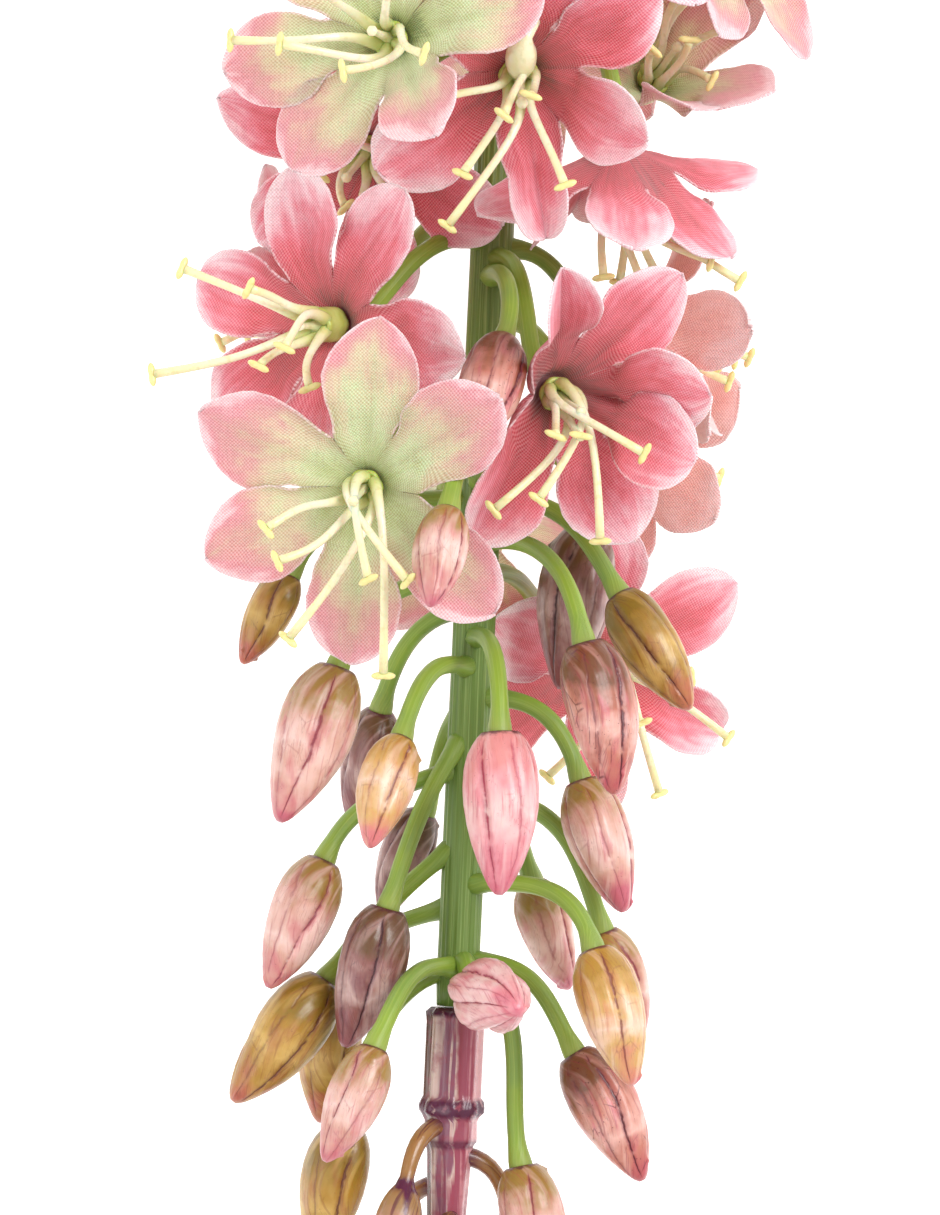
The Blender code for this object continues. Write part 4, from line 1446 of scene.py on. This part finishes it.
@dataclass
class Stem(SubAssembly):
    """The ridged stem with a curved pedicel for every flower and bud."""

    name: str = "stem"
    radius: float = STEM_RADIUS
    pedicel: float = 1.45
    root: float = 2.1
    calyx: float = 2.5
    seat_radius: float = 2.0
    neck: float = 1.6
    ridges: int = 15
    fine_ridges: int = 23
    sides: int = 90

    def lay_stem(self) -> None:
        """Lay the ridged stem itself."""
        levels = [STEM_LOW_Y]
        while levels[-1] < STEM_CUT_Y:
            levels.append(min(levels[-1] + (4.0 if levels[-1] < STEM_STRAIGHT_TO else 7.0), STEM_CUT_Y))
        path = [Vector((0.0, y, stem_height(y))) for y in levels]

        def radius(share: float, angle: float) -> float:
            """Ridges that wander a little, with each end slightly rounded."""
            y = levels[round(share * (len(levels) - 1))]
            ridge = 0.020 * math.cos(self.ridges * angle + 0.7 * ripple(1.0, y * 0.01))
            ridge += 0.014 * math.cos(self.fine_ridges * angle + 1.0 + 0.6 * ripple(2.0, y * 0.012))
            swell = 0.025 * ripple(3.0, y * 0.03)
            rim = 1.0 - 0.06 * (y in (levels[0], levels[-1]))
            return self.radius * (1.0 + ridge + swell) * rim

        self.former.tube(path, radius, lambda share, _: (0.0, 0.0, 0.0, 1.0), self.sides)

    def lay_pedicel(self, root_y: float, end: Vector, arrival: Vector, seat: float,
                    lean: float = 0.0) -> None:
        """Lay one pedicel.

        Args:
            root_y: where it leaves the stem.
            end: where it meets its flower or bud.
            arrival: the way it arrives there.
            seat: its radius there.
            lean: 0 where it leaves the stem squarely, 1 where it goes straight to its end.
        """
        across = Vector((end.x, 0.0, end.z)).normalized()
        inside = across * self.radius * 0.45 + Vector((0.0, root_y, 0.0))
        reach = (end - inside).length
        square = across * reach * 0.5 + Vector((0.0, reach * 0.06, 0.0))
        leave = inside + square.lerp((end - inside) * 0.4, lean)
        slim = self.pedicel
        neck = end - arrival * self.neck
        arrive = neck - arrival * reach * 0.34
        path = curve((inside, leave, arrive, neck), 20, 21)
        path += [neck.lerp(end, 0.5), end]
        run = [0.0]
        for a, b in zip(path, path[1:]):
            run.append(run[-1] + (b - a).length)
        seed = root_y * 0.37 + end.x

        def radius(share: float, angle: float) -> float:
            """Flared at the stem and, under a flower or bud, at its seat."""
            at = run[round(share * (len(path) - 1))]
            flare = (self.root - slim) * bell(at, self.radius * 0.9)
            swell = (seat - slim) * smooth(5.0, 0.4, run[-1] - at) if seat > slim else 0.0
            uneven = 1.0 + 0.05 * ripple(seed, at * 0.15) + 0.03 * math.cos(5.0 * angle + seed)
            return (slim + flare + swell) * uneven

        def marks(share: float, _: float) -> Marks:
            """A pedicel, the nearness to its root and the nearness to its end."""
            at = run[round(share * (len(path) - 1))]
            return 1.0, math.exp(-at / 4.0), smooth(5.0, 0.0, run[-1] - at), 1.0

        self.former.tube(path, radius, marks, 14)

    def form(self) -> None:
        """Lay the stem, then a pedicel for every flower and bud."""
        self.lay_stem()
        for flower in FLOWERS:
            outward = Vector(flower.facing).normalized()
            end = Vector(flower.hub) - outward * 0.2
            self.lay_pedicel(flower.hub[1] + flower.rise, end, outward, self.calyx)
        for bud in BUDS:
            along = (Vector(bud.point) - Vector(bud.base)).normalized()
            end = Vector(bud.base) + along * 0.5
            self.lay_pedicel(bud.base[1] + bud.rise, end, along, self.seat_radius, bud.lean)


@dataclass
class Tip(SubAssembly):
    """The ribbed tip with its ragged collars and a spiral of the smallest buds.

    reach, sag and bud_size are each the first small bud's, and how much less the last's is.
    """

    name: str = "tip"
    top: float = STEM_LOW_Y - SEAT_GAP
    radius: float = TIP_RADIUS
    profile: tuple = ((0.0, 0.84), (0.01, 1.0), (0.03, 0.96), (0.2, 0.96), (0.215, 1.12), (0.235, 1.12),
                      (0.25, 0.9), (0.3, 0.92), (0.315, 0.78), (0.7, 0.5), (1.0, 0.3))
    ribs: int = 8
    rib_depth: float = 0.075
    ragged: float = 0.10
    spiral: float = 137.5
    reach: tuple[float, float] = (11.0, 6.0)
    sag: tuple[float, float] = (10.0, 3.0)
    bud_size: tuple[float, float] = (17.0, 8.0)
    bud_profile: tuple = ((0.0, 0.10), (0.1, 0.17), (0.25, 0.22), (0.4, 0.235), (0.6, 0.2), (0.8, 0.13),
                          (0.93, 0.07), (1.0, 0.03))
    rows: int = 90
    sides: int = 60

    def lay_rod(self) -> None:
        """Lay the ribbed rod with its collars."""
        path = [Vector((0.0, self.top - TIP_LENGTH * k / self.rows, 0.0)) for k in range(self.rows + 1)]

        def rimmed(share: float) -> float:
            """Nearness to the top's rim or to a collar's."""
            return max(bell(share, 0.02), bell(share - 0.225, 0.022), 0.6 * bell(share - 0.305, 0.015))

        def radius(share: float, angle: float) -> float:
            """Ribs that fade below the upper collar, and ragged rims."""
            ribs = self.rib_depth * math.cos(self.ribs * angle) * (1.0 - 0.5 * smooth(0.19, 0.24, share))
            rags = ripple(4.0, math.cos(angle) * 5.0, math.sin(angle) * 5.0, share * 60.0)
            ragged = self.ragged * rimmed(share) * rags
            return self.radius * interpolated(self.profile, share) * (1.0 + ribs + ragged)

        # The last mark is the place round the rod from its -X side. The finish turns it into colour bands,
        # with painted shade on that side.
        self.former.tube(path, radius, lambda share, angle: (0.0, rimmed(share), 0.0, abs(angle) / math.pi),
                         self.sides)

    def lay_small_bud(self, number: int) -> None:
        """Lay one small bud with its stalk.

        Args:
            number: its place in the spiral, from 0.
        """
        share = number / (TIP_BUDS - 1)
        angle = math.radians(130.0 - self.spiral * number)
        across = Vector((math.cos(angle), 0.0, math.sin(angle)))
        root = Vector((0.0, self.top - TIP_LENGTH * (0.26 + 0.7 * share), 0.0))
        reach, sag, size = (first - less * share for first, less in (self.reach, self.sag, self.bud_size))
        base = root + across * reach + Vector((0.0, -sag, 0.0))
        along = (across * 0.25 + Vector((0.0, -1.0, 0.0))).normalized()
        ends = (root, root + across * reach * 0.8, base - along * sag * 0.5, base)
        path = curve(ends, 10, 10)
        stalk = len(path)
        path += [base + along * size * k / 14.0 for k in range(15)]
        last = len(path) - 1

        def radius(at: float, turn: float) -> float:
            """A tapering stalk, then a three-sided bud."""
            step = round(at * last)
            if step < stalk:
                return 1.7 - 0.55 * step / stalk
            full = size * interpolated(self.bud_profile, (step - stalk) / 14.0)
            return full * (1.0 + 0.05 * math.cos(3.0 * turn + number))

        def marks(at: float, turn: float) -> Marks:
            """A small bud, its dark root and seams, and the share along it."""
            step = round(at * last)
            seam = max(math.cos(3.0 * turn + number + math.pi), 0.0) ** 6
            grown = max((step - stalk) / 14.0, 0.0)
            seamed = 0.6 * seam * (step > stalk) + math.exp(-abs(step - stalk))
            return 1.0, max(seamed, 0.7 * bell(step, 3.5)), grown, 1.0

        self.former.tube(path, radius, marks, 18)

    def form(self) -> None:
        """Lay the rod, then its spiral of buds."""
        self.lay_rod()
        for number in range(TIP_BUDS):
            self.lay_small_bud(number)


# ---------------------------------------------------------------- studio


@dataclass
class Studio:
    """A pale floor, soft light and a camera that looks straight down on the spray."""

    camera_height: float = 900.0
    view_height: float = 202.5
    sensor: float = 36.0
    lean: float = 0.0466
    aim_x: float = -0.8
    floor_size: float = 6.0
    floor_glow: float = 0.55
    sky_strength: float = 0.78

    def place_camera(self) -> None:
        """Set the camera over the lower flowers and the upper buds."""
        data = bpy.data.cameras.new("camera")
        data.sensor_fit = "VERTICAL"
        data.sensor_height = self.sensor
        data.lens = self.sensor * self.camera_height / self.view_height
        data.clip_start = 0.01
        data.clip_end = 20.0
        camera = bpy.data.objects.new("camera", data)
        bpy.context.scene.collection.objects.link(camera)
        level = math.sqrt(1.0 - self.lean**2)
        right, up = Vector((level, self.lean, 0.0)), Vector((-self.lean, level, 0.0))
        turn = Matrix((right, up, right.cross(up))).transposed().to_4x4()
        spot = (SETTLE_PLACE + Vector((self.aim_x, 0.0, self.camera_height))) * MM
        camera.matrix_world = Matrix.Translation(spot) @ turn
        bpy.context.scene.camera = camera

    def lay_floor(self) -> None:
        """Lay the plain pale floor."""
        bm = bmesh.new()
        bmesh.ops.create_grid(bm, x_segments=1, y_segments=1, size=self.floor_size / 2.0)
        floor = linked("floor", bm)
        made = Shader("pale floor", Roughness=0.9, Emission_Strength=self.floor_glow,
                      Emission_Color=(1.0, 1.0, 1.0))
        made.dress(Base_Color=made.mix(made.cloud(4.0 * MM, 2.0), (0.93, 0.93, 0.93), (0.95, 0.95, 0.95)))
        floor.data.materials.append(made.material)

    def hang_light(self, name: str, place: tuple, size: float, power: float) -> None:
        """Hang one soft square light that faces the flowers.

        Args:
            name: its name.
            place: where it hangs, in metres.
            size: the length of its sides in metres.
            power: its power in watts.
        """
        data = bpy.data.lights.new(name, "AREA")
        data.shape = "SQUARE"
        data.size = size
        data.energy = power
        light = bpy.data.objects.new(name, data)
        bpy.context.scene.collection.objects.link(light)
        light.location = place
        aim = SETTLE_PLACE * MM - Vector(place)
        light.rotation_euler = aim.to_track_quat("-Z", "Y").to_euler()

    def build(self) -> None:
        """Build the whole studio."""
        self.place_camera()
        self.lay_floor()
        self.hang_light("key", (0.9, 0.5, 1.3), 0.8, 20.0)
        self.hang_light("fill", (-1.1, -0.4, 1.2), 1.4, 10.0)
        world = bpy.context.scene.world or bpy.data.worlds.new("world")
        bpy.context.scene.world = world
        world.use_nodes = True
        sky = world.node_tree.nodes["Background"]
        sky.inputs[0].default_value = (1.0, 1.0, 1.0, 1.0)
        sky.inputs[1].default_value = self.sky_strength
        bpy.context.scene.view_settings.view_transform = "Standard"


def main() -> None:
    """Build the studio, then every piece in order."""
    logging.basicConfig(level=logging.INFO, format="%(message)s")
    Studio().build()
    cloths = {tone: finish.material() for tone, finish in CLOTHS.items()}
    paints = {tone: finish.material() for tone, finish in PAINTS.items()}
    stamen = StamenFinish().material()
    for number, flower in enumerate(FLOWERS, 1):
        Corolla(f"corolla_{number:02d}", flower, FOLDED.get(number, NO_LIFTS),
                FLUSHED.get(number, 0.0)).build(cloths[flower.tone])
        Stamens(f"stamens_{number:02d}", flower, HUB_SWELL.get(number, 1.0), number in HOODED,
                number in BULBED).build(stamen)
    for number, bud in enumerate(BUDS, 1):
        ClosedBud(f"bud_{number:02d}", bud).build(paints[bud.tone])
    Stem().build(StemFinish().material())
    Tip().build(TipFinish().material())


if __name__ == "__main__":
    main()
